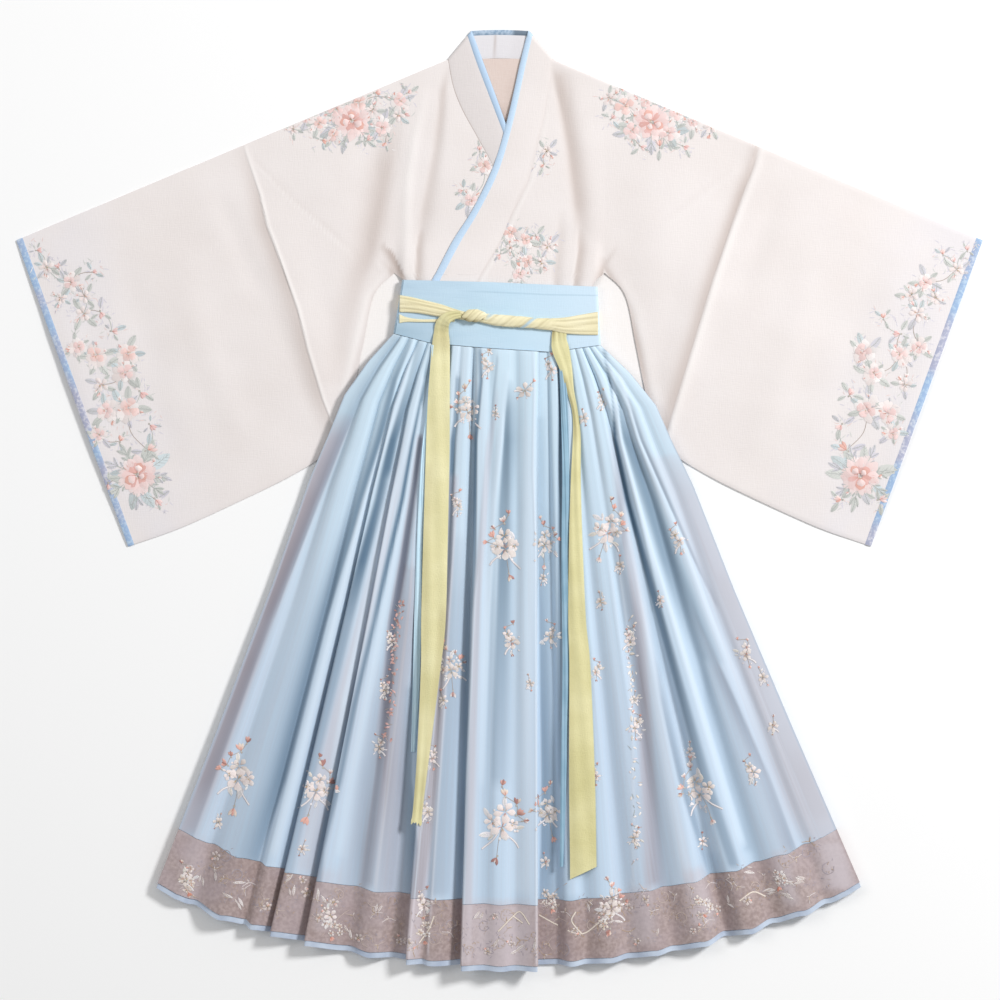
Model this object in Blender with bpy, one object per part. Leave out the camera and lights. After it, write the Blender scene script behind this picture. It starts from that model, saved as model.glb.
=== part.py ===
"""Hanfu set laid flat on its back: cross-collar top, pleated skirt with a sheer overlay, tied belt.

Metres, +Z up. The set lies on the plane z = 0 with its collar towards +Y, and its origin is the
middle of its footprint. Sizes below are millimetres; every cloth piece is a middle surface laid out
in rows of points, and a Solidify modifier gives it its wall. -X is the wearer's right side.
"""
import math
from collections import namedtuple

import bmesh
import bpy

MM = 0.001

# ---- cloth and layers ---------------------------------------------------------------------------
WALL = 1.0              # thickness of every single layer
CLEAR = 0.4             # air between two layers that lie on each other
LAYER = WALL + CLEAR    # step from one layer's middle to the next
SEAM = 0.3              # gap between two pieces along a seam
GROUND = WALL / 2       # middle of a layer that lies on the ground

# ---- top ----------------------------------------------------------------------------------------
NECK_X, NECK_Y = 76, 646        # where the shoulder fold starts beside the collar
CUFF_X, CUFF_Y = 711, 380       # outer end of the shoulder fold, at the cuff
ARMPIT_X, ARMPIT_Y = 155, 333
SLEEVE_SEAM_X = 378             # where the sleeve seam meets the shoulder fold
CUFF_BAND = 12                  # width of the blue cuff binding
TUCK_X, TUCK_Y = 131, 170       # half width and lower end of the top inside the skirt
TUCK_START = 324                # the top is inside the waistband below this height
SLEEVE_PUFF = 4                 # how far a sleeve's front rises between its edges
SLEEVE_RIDGE = 3                # extra height of the crease along the sleeve seam
BODY_PUFF = 3                   # how far the fronts rise between the armpits

Place = namedtuple("Place", "x y")
# lower end of each column of the upper sleeve, from the armpit out to the sleeve seam
FRONT_UNDERARM = (Place(155, 333), Place(185, 300), Place(201, 226), Place(219, 140), Place(237, 98))
BACK_UNDERARM = (Place(155, 333), Place(141, 292), Place(141, 215), Place(185, 135), Place(237, 98))
# lower edge of the sleeve end, from the sleeve seam out to the cuff: share of the way, and place
Foot = namedtuple("Foot", "out x y")
SLEEVE_FOOT = (Foot(0, 237, 98), Foot(0.12, 256, 68), Foot(0.28, 298, 40), Foot(0.5, 367, 5),
               Foot(0.76, 468, -41), Foot(1, 547, -69))

# collar stations from the back neck down one front: the edge with the piping, and the sewn edge
Collar = namedtuple("Collar", "edge_x edge_y seam_x seam_y")
BACK_COLLAR = (Collar(-24, 690, -37, 648), Collar(0, 690.5, 0, 649), Collar(24, 690, 37, 648))
UNDER_COLLAR = (Collar(-41, 689, -76, 647), Collar(-27, 651, -68, 606), Collar(-9, 603, -54, 571),
                Collar(11, 547, -32, 531), Collar(31, 491, -6, 481), Collar(60, 411, 20, 401),
                Collar(88, ARMPIT_Y, 46, ARMPIT_Y), Collar(91, TUCK_START, 49, TUCK_START),
                Collar(102, 290, 60, 290))
OVER_COLLAR = (Collar(42, 689, 78, 647), Collar(30, 640, 73, 605), Collar(11, 556, 62, 548),
               Collar(-10, 487, 42, 469), Collar(-40, 425, 18, 420), Collar(-68, 381, 2, 381),
               Collar(-93, ARMPIT_Y, -26, ARMPIT_Y), Collar(-98, TUCK_START, -31, TUCK_START),
               Collar(-126, 262, -60, 262))
PIPING = 0.17                   # share of the collar's width that the blue piping takes

# ---- skirt --------------------------------------------------------------------------------------
WAIST_LEFT, WAIST_RIGHT = -155, 148      # ends of the seam under the waistband
HEM_LEFT, HEM_RIGHT = -504, 531
HEM_RADIUS, HEM_CENTRE_X = 1224, 12      # the laid-out hem is an arc
HEM_LOW_Y = -686                         # its lowest point, before the folds' own drop
SKIRT_LENGTH = 908                       # from the waistband's seam to the hem at the middle
BAND_TOP, BAND_FOOT = 0.893, 0.985       # taupe band, as shares of the way from waist to hem
WAISTBAND_WALL = 2 * WALL + CLEAR
STACK = 3 * LAYER + 0.3                  # room for the tucked top between back and front
FOLD_DROP = 0.3                          # how far a fold hangs below the hem line for its height
BACK_POINTS = 12

Edge = namedtuple("Edge", "x y")
WAIST_TOP = (Edge(-142, 322), Edge(-21, 319), Edge(143, 312))
WAIST_SEAM = (Edge(-155, 243), Edge(-101, 229), Edge(-21, 222), Edge(74, 216), Edge(148, 226))

# how far a fold line has swung out from waist to hem, against the way down
Flare = namedtuple("Flare", "down swing")
FLARE = (Flare(0, 0), Flare(0.05, 0.11), Flare(0.11, 0.21), Flare(0.18, 0.275), Flare(0.26, 0.355),
         Flare(0.45, 0.51), Flare(0.7, 0.73), Flare(1, 1))

# every crest and valley across the front: place at the waist, place at the hem, height at the hem
Fold = namedtuple("Fold", "waist hem height")
FOLDS = (
    Fold(-150, -476, 12), Fold(-145, -452, 4), Fold(-139, -408, 22), Fold(-133, -377, 7),
    Fold(-127, -362, 17), Fold(-120, -331, 0), Fold(-114, -334, 20), Fold(-106, -281, 0),
    Fold(-100, -284, 21), Fold(-93, -227, 5), Fold(-86, -190, 15), Fold(-79, -160, 1),
    Fold(-72, -133, 1), Fold(-65, -136, 21), Fold(-56, -115, 12), Fold(-48, -98, 17),
    Fold(-38, -52, 0), Fold(-26, -55, 27), Fold(-11, -24, 19), Fold(6, 1, 25),
    Fold(26, 24, 19), Fold(48, 54, 27), Fold(59, 51, 0), Fold(70, 84, 1),
    Fold(78, 107, 15), Fold(85, 130, 9), Fold(92, 162, 16), Fold(99, 193, 7),
    Fold(105, 229, 15), Fold(111, 259, 9), Fold(117, 300, 19), Fold(122, 334, 0),
    Fold(127, 368, 19), Fold(132, 405, 6), Fold(136, 446, 18), Fold(140, 483, 8),
    Fold(144, 509, 11),
)
STEPS_PER_FOLD = 3
FOLD_SHARE_AT_WAIST = 0.12      # height of the gathers at the waist against the hem's
SKIRT_ROWS = (0, 0.05, 0.11, 0.18, 0.28, 0.42, 0.58, 0.75)

# ---- belt and ties ------------------------------------------------------------------------------
# the yellow belt round the waist: place across, its middle height, its width and its depth
Strand = namedtuple("Strand", "x y width depth")
BELT_FRONT = (Strand(-146, 289, 15, 2.0), Strand(-110, 286, 17, 3.5), Strand(-75, 277, 14, 5),
              Strand(-52, 269, 12, 3), Strand(-36, 268, 10, 2.4), Strand(-20, 268, 12, 3),
              Strand(5, 267, 20, 7), Strand(45, 265, 22, 8), Strand(85, 261, 24, 7),
              Strand(115, 259, 29, 4), Strand(146, 258, 33, 2.0))
BELT_BACK = (Strand(148, 258, 34, WALL), Strand(116, 261, 34, WALL), Strand(72, 264, 34, WALL),
             Strand(-79, 277, 34, WALL), Strand(-122, 282, 32, WALL), Strand(-151, 286, 28, WALL))
BELT_SIDES = (-155.5, 150.5)    # where the belt turns from the front to the back
SECOND_STRAND = (Strand(-143, 269, 15, 1.6), Strand(-110, 265, 15, 3), Strand(-80, 262, 12, 4),
                 Strand(-57, 260, 8, 3))
KNOT = Strand(-36, 268, 26, 15)
KNOT_LENGTH = 34

# tails and ties: middle of the ribbon, its place down the front and its half width
Ribbon = namedtuple("Ribbon", "x y half")
TAIL_LEFT = (Ribbon(-82, 267, 8), Ribbon(-84, 252, 10), Ribbon(-85, 246, 11), Ribbon(-86, 224, 12),
             Ribbon(-89, 150, 16), Ribbon(-91, 57, 17.5), Ribbon(-94, -60, 18), Ribbon(-97, -178, 18),
             Ribbon(-101, -248, 14.5), Ribbon(-112, -376, 9), Ribbon(-120, -456, 7),
             Ribbon(-122, -474, 8))
TAIL_RIGHT = (Ribbon(87, 243, 10), Ribbon(96, 208, 10), Ribbon(103, 172, 6.5), Ribbon(113, 113, 5),
              Ribbon(112, 22, 7.5), Ribbon(112, -68, 10), Ribbon(114, -178, 13),
              Ribbon(118, -248, 15.5), Ribbon(121, -409, 19), Ribbon(123, -540, 19.5))
TAIL_RIGHT_SLANT = 18           # the right tail's end is cut on the slant, lower on its left
TIE_LEFT = (Ribbon(-96, 226, 4), Ribbon(-101, 150, 4), Ribbon(-111, 57, 4), Ribbon(-118, -90, 4.5),
            Ribbon(-122, -248, 5), Ribbon(-127, -372, 3))
TIE_RIGHT = (Ribbon(89, 215, 4), Ribbon(93, 187, 5), Ribbon(97, 57, 5), Ribbon(96, -90, 5),
             Ribbon(97, -248, 4.5), Ribbon(94, -409, 4), Ribbon(91, -540, 2.5))

# ---- colours ------------------------------------------------------------------------------------
IVORY = (0.84, 0.79, 0.77, 1)
PIPE_BLUE = (0.40, 0.62, 0.85, 1)
SKIRT_BLUE = (0.47, 0.67, 0.80, 1)
ORGANZA = (0.62, 0.62, 0.70, 1)
TAUPE = (0.41, 0.33, 0.34, 1)
HEM_BLUE = (0.52, 0.64, 0.80, 1)
YELLOW = (0.86, 0.80, 0.42, 1)
TIE_BLUE = (0.30, 0.58, 0.76, 1)


def smooth(low, high, value):
    """Ease from 0 at low to 1 at high."""
    share = min(1.0, max(0.0, (value - low) / (high - low)))
    return share * share * (3 - 2 * share)


def mix(start, end, share):
    return start + (end - start) * share


def along(table, value):
    """Second column of a table against its first, eased with straight runs between rows."""
    if value <= table[0][0]:
        return table[0][1]
    for before, after in zip(table, table[1:]):
        if value <= after[0]:
            return mix(before[1], after[1], (value - before[0]) / (after[0] - before[0]))
    return table[-1][1]


def material(name, colour, roughness=0.75):
    made = bpy.data.materials.new(name)
    made.use_nodes = True
    shader = made.node_tree.nodes["Principled BSDF"]
    shader.inputs["Base Color"].default_value = colour
    shader.inputs["Roughness"].default_value = roughness
    shader.inputs["Metallic"].default_value = 0.0
    return made


def add_object(name, points, faces, colour, wall=0.0):
    """A mesh object from points in millimetres; a wall makes a middle surface into cloth."""
    mesh = bpy.data.meshes.new(name)
    mesh.from_pydata([(x * MM, y * MM, z * MM) for x, y, z in points], [], faces)
    mesh.shade_smooth()
    mesh.set_sharp_from_angle(angle=math.radians(50))
    mesh.materials.append(material(name, colour))
    thing = bpy.data.objects.new(name, mesh)
    bpy.context.scene.collection.objects.link(thing)
    if wall:
        solid = thing.modifiers.new("Wall", "SOLIDIFY")
        solid.thickness = wall * MM
        solid.offset = 0
    return thing


def grid_faces(rows, columns, ring, first=0):
    """Quads over rows of points, each row closed into a ring where asked."""
    faces = []
    for row in range(rows - 1):
        for column in range(columns if ring else columns - 1):
            here = first + row * columns + column
            side = first + row * columns + (column + 1) % columns
            faces.append((here, side, side + columns, here + columns))
    return faces


def cloth(name, rows, colour, wall=WALL, ring=False):
    points = [point for row in rows for point in row]
    return add_object(name, points, grid_faces(len(rows), len(rows[0]), ring), colour, wall)


# ---- skirt sections -----------------------------------------------------------------------------
def hem_y(x):
    reach = x - HEM_CENTRE_X
    return HEM_LOW_Y + HEM_RADIUS - math.sqrt(HEM_RADIUS ** 2 - reach ** 2)


def place_on_skirt(waist, hem, down):
    """Plan position of a fold line, the given share of the way down from waist to hem."""
    swing = mix(down, along(FLARE, down), min(1.0, abs(hem) / HEM_RIGHT))
    x = mix(waist, hem, swing)
    y = mix(along(WAIST_SEAM, waist) - 2 * SEAM, hem_y(hem), down)
    return x, y


def skirt_edges(down):
    left = place_on_skirt(WAIST_LEFT, HEM_LEFT, down)[0]
    right = place_on_skirt(WAIST_RIGHT, HEM_RIGHT, down)[0]
    return left, right


def back_height(x, down):
    """Middle height of the lining's back: over the belt's back stretch and the sleeves' hidden edges."""
    left, right = skirt_edges(max(0.0, down))
    out = abs((2 * x - left - right) / (right - left))
    belt = 1 - smooth(0.02, 0.12, down)
    one_sleeve_layer = smooth(0.5, 0.78, out) * (1 - smooth(0.20, 0.30, down))
    two_layers = smooth(0.76, 0.92, out) * smooth(0.03, 0.09, down) * (1 - smooth(0.20, 0.30, down))
    return GROUND + LAYER + LAYER * (belt + one_sleeve_layer) + (LAYER + 1.0) * two_layers


def front_height(x, down):
    """Middle height of the lining's front in its valleys, above the tucked top and the back."""
    return back_height(x, down) + LAYER + STACK * (1 - smooth(0.08, 0.24, down))


def fold_height(fold, down):
    return fold.height * mix(FOLD_SHARE_AT_WAIST, 1, down ** 0.6)


def fold_points(down):
    """The front's middle line across one row, as (x, y, z) from left to right."""
    places = []
    for fold in FOLDS:
        x, y = place_on_skirt(fold.waist, fold.hem, down)
        rise = fold_height(fold, down)
        places.append((x, y - FOLD_DROP * rise * down, front_height(x, down) + rise))
    points = []
    for index in range(len(places) - 1):
        before = places[max(0, index - 1)]
        start, end = places[index], places[index + 1]
        after = places[min(len(places) - 1, index + 2)]
        lead_in, lead_out = (end[0] - before[0]) / 2, (after[0] - start[0]) / 2
        for step in range(STEPS_PER_FOLD):
            share = step / STEPS_PER_FOLD
            ease = share * share * (3 - 2 * share)
            pull_in = share * (1 - share) ** 2
            pull_out = share * share * (share - 1)
            x = mix(start[0], end[0], ease) + lead_in * pull_in + lead_out * pull_out
            points.append((x, mix(start[1], end[1], ease), mix(start[2], end[2], ease)))
    points.append(places[-1])
    return points


def side_turn(waist, hem, down, front, inward):
    """Two points where the wall turns over at a side, between its front and its back."""
    x, y = place_on_skirt(waist, hem, down)
    back = back_height(x, down)
    return [(x, y, mix(back, front, 0.5)), (x + inward * 0.3 * (front - back), y, back)]


def skirt_ring(down):
    """One closed section of the lining's middle surface: front left to right, then the back."""
    front = fold_points(down)
    right = side_turn(WAIST_RIGHT, HEM_RIGHT, down, front[-1][2], -1)
    left = side_turn(WAIST_LEFT, HEM_LEFT, down, front[0][2], 1)
    back = []
    for step in range(1, BACK_POINTS):
        share = step / BACK_POINTS
        x, y = place_on_skirt(mix(WAIST_RIGHT, WAIST_LEFT, share), mix(HEM_RIGHT, HEM_LEFT, share), down)
        back.append((x, y, back_height(x, down)))
    return front + right + back + left[::-1]


def moved_out(ring, distance):
    """A closed section moved outward by a distance, square to itself in its own upright plane."""
    moved = []
    for index, (x, y, z) in enumerate(ring):
        before, after = ring[index - 1], ring[(index + 1) % len(ring)]
        first = (x - before[0], z - before[2])
        second = (after[0] - x, after[2] - z)
        first_length, second_length = math.hypot(*first), math.hypot(*second)
        normal_x = -first[1] / first_length - second[1] / second_length
        normal_z = first[0] / first_length + second[0] / second_length
        length_squared = max(0.9, normal_x ** 2 + normal_z ** 2)
        reach = 2 * distance / length_squared
        moved.append((x + normal_x * reach, y, z + normal_z * reach))
    return moved


def skirt_rows(stations, distance):
    return [moved_out(skirt_ring(down), distance) for down in stations]


def build_skirt():
    seam = 2 * SEAM / SKIRT_LENGTH
    down = SKIRT_ROWS
    cloth("skirt_lining", skirt_rows(down + (BAND_FOOT,), 0), SKIRT_BLUE, ring=True)
    cloth("skirt_overlay", skirt_rows(down + (BAND_TOP,), LAYER), ORGANZA, ring=True)
    band = (BAND_TOP + seam, mix(BAND_TOP, BAND_FOOT, 0.5), BAND_FOOT)
    cloth("hem_band", skirt_rows(band, LAYER), TAUPE, ring=True)
    cloth("hem_binding", skirt_rows((BAND_FOOT + seam, 1), 0), HEM_BLUE, ring=True)


def skirt_top(left, right, y):
    """Greatest height of the overlay's middle between two places across the skirt, at one height."""
    middle = (left + right) / 2
    down = (along(WAIST_SEAM, middle) - y) / (along(WAIST_SEAM, middle) - hem_y(middle))
    down = min(1.0, max(0.0, down))
    front = moved_out(skirt_ring(down), LAYER)[:(len(FOLDS) - 1) * STEPS_PER_FOLD + 1]
    top = 0
    for before, after in zip(front, front[1:]):
        if max(before[0], after[0]) >= left and min(before[0], after[0]) <= right:
            top = max(top, before[2], after[2])
    return top


# ---- waistband and belt -------------------------------------------------------------------------
def waist_back(x):
    return back_height(x, 0) - LAYER / 2


WAIST_FRONT = front_height(WAIST_LEFT, 0) + LAYER / 2 + 1


def waistband_ring(share):
    """Closed section of the waistband, from its top edge (share 0) to the skirt seam (share 1)."""
    left, right = mix(WAIST_TOP[0].x, WAIST_LEFT, share), mix(WAIST_TOP[-1].x, WAIST_RIGHT, share)
    ring = []
    count = 10
    for step in range(count + 1):
        x = mix(left + 6, right - 6, step / count)
        ring.append((x, WAIST_FRONT))
    ring.append((right - 1.5, mix(waist_back(right), WAIST_FRONT, 0.75)))
    ring.append((right, mix(waist_back(right), WAIST_FRONT, 0.4)))
    for step in range(count + 1):
        x = mix(right - 4, left + 4, step / count)
        ring.append((x, waist_back(x)))
    ring.append((left, mix(waist_back(left), WAIST_FRONT, 0.4)))
    ring.append((left + 1.5, mix(waist_back(left), WAIST_FRONT, 0.75)))
    return [(x, mix(along(WAIST_TOP, x), along(WAIST_SEAM, x) + SEAM, share), z) for x, z in ring]


def build_waistband():
    rows = [waistband_ring(share) for share in (0, 0.5, 1)]
    cloth("waistband", rows, SKIRT_BLUE, WAISTBAND_WALL, ring=True)


def strand_section(strand, height, over=1, sides=8):
    """Points round one cross-section of a strand; over is 1 on the front and -1 on the back."""
    points = []
    for step in range(sides):
        turn = 2 * math.pi * step / sides
        points.append((strand.x, strand.y + strand.width / 2 * math.cos(turn),
                       height + over * strand.depth / 2 * math.sin(turn)))
    return points


def side_section(x, y, width, outward, sides=8):
    """Points round the belt where it stands on edge at a side of the waist."""
    points = []
    for step in range(sides):
        turn = 2 * math.pi * step / sides
        points.append((x + outward * WALL / 2 * math.sin(turn), y + width / 2 * math.cos(turn),
                       BELT_REST / 2))
    return points


def closed_loft(name, sections, colour, ring=False):
    """A solid through cross-sections, capped at both ends unless it runs round into itself."""
    sides = len(sections[0])
    points = [point for section in sections for point in section]
    faces = grid_faces(len(sections), sides, True)
    if ring:
        start = (len(sections) - 1) * sides
        faces += [(start + side, start + (side + 1) % sides, (side + 1) % sides, side)
                  for side in range(sides)]
    else:
        faces += [tuple(reversed(range(sides))), tuple(range(len(points) - sides, len(points)))]
    thing = add_object(name, points, faces, colour)
    facing_one_way(thing)


BELT_REST = WAIST_FRONT + WAISTBAND_WALL / 2 + CLEAR     # underside of whatever lies on the waistband


def build_belt():
    front = [strand_section(strand, BELT_REST + strand.depth / 2) for strand in BELT_FRONT]
    back = [strand_section(strand, waist_back(strand.x) - WAISTBAND_WALL / 2 - CLEAR - WALL / 2, -1)
            for strand in BELT_BACK]
    left, right = BELT_FRONT[0], BELT_FRONT[-1]
    right_side = side_section(BELT_SIDES[1], right.y, right.width, 1)
    left_side = side_section(BELT_SIDES[0], left.y, left.width, -1)
    closed_loft("belt_wrap", front + [right_side] + back + [left_side], YELLOW, ring=True)
    lower = [strand_section(strand, BELT_REST + strand.depth / 2) for strand in SECOND_STRAND]
    closed_loft("belt_second_strand", lower, YELLOW)


def build_knot():
    """The knot: a short thick wrap across the belt, resting on it."""
    sections = []
    floor = BELT_REST + BELT_FRONT[3].depth + CLEAR
    for step in range(7):
        share = step / 6
        swell = 0.55 + 0.45 * math.sin(math.pi * share)
        section = []
        for side in range(10):
            angle = 2 * math.pi * side / 10
            section.append((KNOT.x + (share - 0.5) * KNOT_LENGTH,
                            KNOT.y + KNOT.width / 2 * swell * math.cos(angle),
                            floor + KNOT.depth * swell * (0.5 + 0.5 * math.sin(angle))))
        sections.append(section)
    closed_loft("belt_knot", sections, YELLOW)


def ribbon_rows(route, lift):
    """Rows across a hanging ribbon, each lying on the belt, the waistband or the folds below it."""
    rows = []
    for stop in route:
        left, right = stop.x - stop.half, stop.x + stop.half
        height = skirt_top(left - 5, right + 5, stop.y) + lift
        if stop.y > along(WAIST_SEAM, stop.x) - 12:
            height = max(height, BELT_REST + WALL / 2)
        if stop.y > SECOND_STRAND[2].y - SECOND_STRAND[2].width:
            height = max(height, BELT_REST + SECOND_STRAND[2].depth + CLEAR + WALL / 2)
        rows.append([(left, stop.y, height), (stop.x, stop.y, height + 0.6), (right, stop.y, height)])
    return rows


def build_ribbons():
    tie_lift = LAYER + 0.6
    tail_lift = tie_lift + LAYER
    cloth("waist_tie_left", ribbon_rows(TIE_LEFT, tie_lift), TIE_BLUE)
    cloth("waist_tie_right", ribbon_rows(TIE_RIGHT, tie_lift), TIE_BLUE)
    cloth("belt_tail_left", ribbon_rows(TAIL_LEFT, tail_lift + 0.6), YELLOW)
    rows = ribbon_rows(TAIL_RIGHT, tail_lift + 0.6)
    rows[-1] = [(x, y - TAIL_RIGHT_SLANT * (1 - index), z) for index, (x, y, z) in enumerate(rows[-1])]
    cloth("belt_tail_right", rows, YELLOW)


# ---- top ----------------------------------------------------------------------------------------
def shoulder_y(x):
    return mix(NECK_Y, CUFF_Y, (abs(x) - NECK_X) / (CUFF_X - NECK_X))


def body_height(x, y, level):
    """Middle height of a layer of the top, flat above the waist and then inside the waistband."""
    inside = back_height(x, 0) + LAYER
    height = mix(GROUND, inside, smooth(ARMPIT_Y, TUCK_START, y)) + level * LAYER
    if level:
        up = min(1.0, max(0.0, (y - ARMPIT_Y) / (NECK_Y - 40 - ARMPIT_Y)))
        across = max(0.0, 1 - (x / ARMPIT_X) ** 2)
        height += BODY_PUFF * math.sin(math.pi * up) * across
    return height


def front_stations(side):
    """Level of one side's front, and its collar's stations."""
    return (1, UNDER_COLLAR) if side < 0 else (2, OVER_COLLAR)


def body_half(side):
    """One half of the top: front, back and upper sleeve in one, folded over the shoulder."""
    level, stations = front_stations(side)
    seam = [(station.seam_x + side * 2 * SEAM, station.seam_y) for station in stations[1:]]
    seam_above = [place for place in seam if place[1] >= ARMPIT_Y]
    seam_below = seam[len(seam_above):] + [(seam[-1][0], TUCK_Y)]
    downs = [0] + [(NECK_Y - y) / (NECK_Y - ARMPIT_Y) for _, y in seam_above]
    shoulder_in = (NECK_X + 3, 107, 131, ARMPIT_X)
    shoulder_out = (ARMPIT_X, 211, 267, 322, SLEEVE_SEAM_X)
    back_columns = (0, 38) + shoulder_in
    points, faces = [], []

    def add_block(rows):
        first = len(points)
        points.extend(point for row in rows for point in row)
        faces.extend(grid_faces(len(rows), len(rows[0]), False, first))

    def front_row(down, inner):
        row = []
        for index, top_x in enumerate(shoulder_in):
            y = mix(shoulder_y(top_x), ARMPIT_Y, down) if index else mix(NECK_Y, ARMPIT_Y, down)
            x = mix(inner, side * ARMPIT_X, index / 3)
            row.append((x, y, body_height(x, y, level)))
        return row

    def back_row(down):
        row = []
        for top_x in back_columns:
            y = mix(min(NECK_Y - 2 * SEAM, shoulder_y(top_x)), ARMPIT_Y, down)
            x = side * max(SEAM / 2, top_x)
            row.append((x, y, body_height(x, y, 0)))
        return row

    def tucked_rows(inner_places, count, layer):
        rows = []
        for inner, y in inner_places:
            places = (mix(inner, side * TUCK_X, index / (count - 1)) for index in range(count))
            rows.append([(x, y, body_height(x, y, layer)) for x in places])
        return rows

    def sleeve_row(down, underarm, layer):
        row = []
        for index, (top_x, foot) in enumerate(zip(shoulder_out, underarm)):
            out = index / (len(shoulder_out) - 1)
            height = GROUND + mix(layer, min(layer, 1), smooth(0, 1, out)) * LAYER
            if layer:
                height += sleeve_puff(down) * smooth(0, 0.6, out) + sleeve_ridge(down) * smooth(0.7, 1, out)
            row.append((side * mix(top_x, foot.x, down), mix(shoulder_y(top_x), foot.y, down), height))
        return row

    shoulder = [(side * x, shoulder_y(x), body_height(side * x, shoulder_y(x), level)) for x in shoulder_in]
    front = [shoulder] + [front_row(down, place[0]) for down, place in zip(downs[1:], seam_above)]
    add_block(front + tucked_rows(seam_below, len(shoulder_in), level))
    back = [back_row(down) for down in downs]
    back_inner = [(side * SEAM / 2, y) for _, y in seam_below]
    add_block(back + tucked_rows(back_inner, len(back_columns), 0))
    front_sleeve = [sleeve_row(down, FRONT_UNDERARM, level) for down in downs]
    back_sleeve = [sleeve_row(down, BACK_UNDERARM, 0) for down in downs]
    add_block(front_sleeve)
    add_block(back_sleeve)
    front_edge = front[0] + front_sleeve[0][1:]
    back_edge = back[0][2:] + back_sleeve[0][1:]
    turn = [(x, y + 0.5 * (z - back_z), mix(back_z, z, 0.5))
            for (x, y, z), (_, _, back_z) in zip(front_edge, back_edge)]
    add_block([front_edge, turn, back_edge])
    return points, faces


def weld(points, faces):
    """Points that coincide become one, so that neighbouring blocks share their edge."""
    places, kept, index_of = {}, [], []
    for point in points:
        key = tuple(round(value, 3) for value in point)
        if key not in places:
            places[key] = len(kept)
            kept.append(point)
        index_of.append(places[key])
    return kept, [tuple(index_of[index] for index in face) for face in faces]


def facing_one_way(thing):
    """Turn every face of a middle surface to the same side, so that its wall is even."""
    work = bmesh.new()
    work.from_mesh(thing.data)
    bmesh.ops.recalc_face_normals(work, faces=work.faces)
    work.to_mesh(thing.data)
    work.free()


def sleeve_puff(down):
    return SLEEVE_PUFF * math.sin(math.pi * down)


def sleeve_ridge(down):
    return SLEEVE_RIDGE * smooth(0.1, 0.6, down) * (1 - smooth(0.8, 1, down))


def sleeve_ring(side, out):
    """Closed section of the sleeve end: back from shoulder to foot, then front from foot to shoulder."""
    top_x = mix(SLEEVE_SEAM_X, CUFF_X, out)
    top_y = shoulder_y(top_x)
    foot_x = along([(foot.out, foot.x) for foot in SLEEVE_FOOT], out)
    foot_y = along([(foot.out, foot.y) for foot in SLEEVE_FOOT], out)
    length = math.hypot(top_x - foot_x, top_y - foot_y)
    shares = (0, 0.16, 0.34, 0.52, 0.7, 0.86, 1)
    over = LAYER / 2 / length
    ring = [(share, GROUND) for share in shares] + [(1 + over, GROUND + LAYER / 2)]
    ridge = 1 - smooth(0, 0.13, out)
    for share in reversed(shares):
        ring.append((share, GROUND + LAYER + sleeve_puff(share) + ridge * sleeve_ridge(share)))
    ring.append((-over, GROUND + LAYER / 2))
    return [(side * mix(top_x, foot_x, share), mix(top_y, foot_y, share), z) for share, z in ring]


def build_top():
    for side, name in ((-1, "left"), (1, "right")):
        points, faces = weld(*body_half(side))
        facing_one_way(add_object("body_" + name, points, faces, IVORY, WALL))
        cuff = CUFF_BAND / (CUFF_X - SLEEVE_SEAM_X)
        gap = SEAM / (CUFF_X - SLEEVE_SEAM_X)
        outs = (gap, 0.06, 0.13, 0.28, 0.5, 0.76, 1 - cuff - gap)
        cloth("sleeve_" + name, [sleeve_ring(side, out) for out in outs], IVORY, ring=True)
        cloth("cuff_" + name, [sleeve_ring(side, out) for out in (1 - cuff, 1)], PIPE_BLUE, ring=True)


def neck_turn(station, side, level):
    """The outermost line of the fold at the side of the neck, half the fold's height further out."""
    reach = side * level * LAYER / 2
    return Collar(station.edge_x + reach, station.edge_y, station.seam_x + reach, station.seam_y)


def collar_rows(start, end):
    """The strip of the collar between two shares of its width, measured from the piped edge."""
    line = [(station, 1) for station in reversed(UNDER_COLLAR)]
    line.append((neck_turn(UNDER_COLLAR[0], -1, 1), 0.5))
    line.extend((station, 0) for station in (UNDER_COLLAR[0],) + BACK_COLLAR + (OVER_COLLAR[0],))
    line.append((neck_turn(OVER_COLLAR[0], 1, 2), 1))
    line.extend((station, 2) for station in OVER_COLLAR)
    rows = []
    for station, level in line:
        row = []
        for share in (start, (start + end) / 2, end):
            x = mix(station.edge_x, station.seam_x, share)
            y = mix(station.edge_y, station.seam_y, share)
            row.append((x, y, body_height(x, y, level)))
        rows.append(row)
    return rows


def build_collar():
    gap = SEAM / 45
    cloth("collar_piping", collar_rows(0, PIPING), PIPE_BLUE)
    cloth("collar", collar_rows(PIPING + gap, 1 - gap), IVORY)


def main():
    for thing in list(bpy.data.objects):
        bpy.data.objects.remove(thing)
    build_top()
    build_collar()
    build_skirt()
    build_waistband()
    build_belt()
    build_knot()
    build_ribbons()


main()
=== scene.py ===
"""Looks of the hanfu set laid flat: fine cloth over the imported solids, embroidery, floor and light.

Sizes are millimetres, and -X is the wearer's right. Each piece is laid out in rows of points as in
the part, more finely and with its creases. The outline, the collar, the waist and hem lines, the
ties and the folds' places and heights repeat the part's own. The back's underarm, how high the folds
stand at the waist, how wide the cuffs and the hem binding are, and the belt with its knot and tails
were set anew for the looks.
"""

import math
from collections import namedtuple

import bmesh
import bpy
import numpy as np
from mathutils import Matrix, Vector
from mathutils.bvhtree import BVHTree


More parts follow.
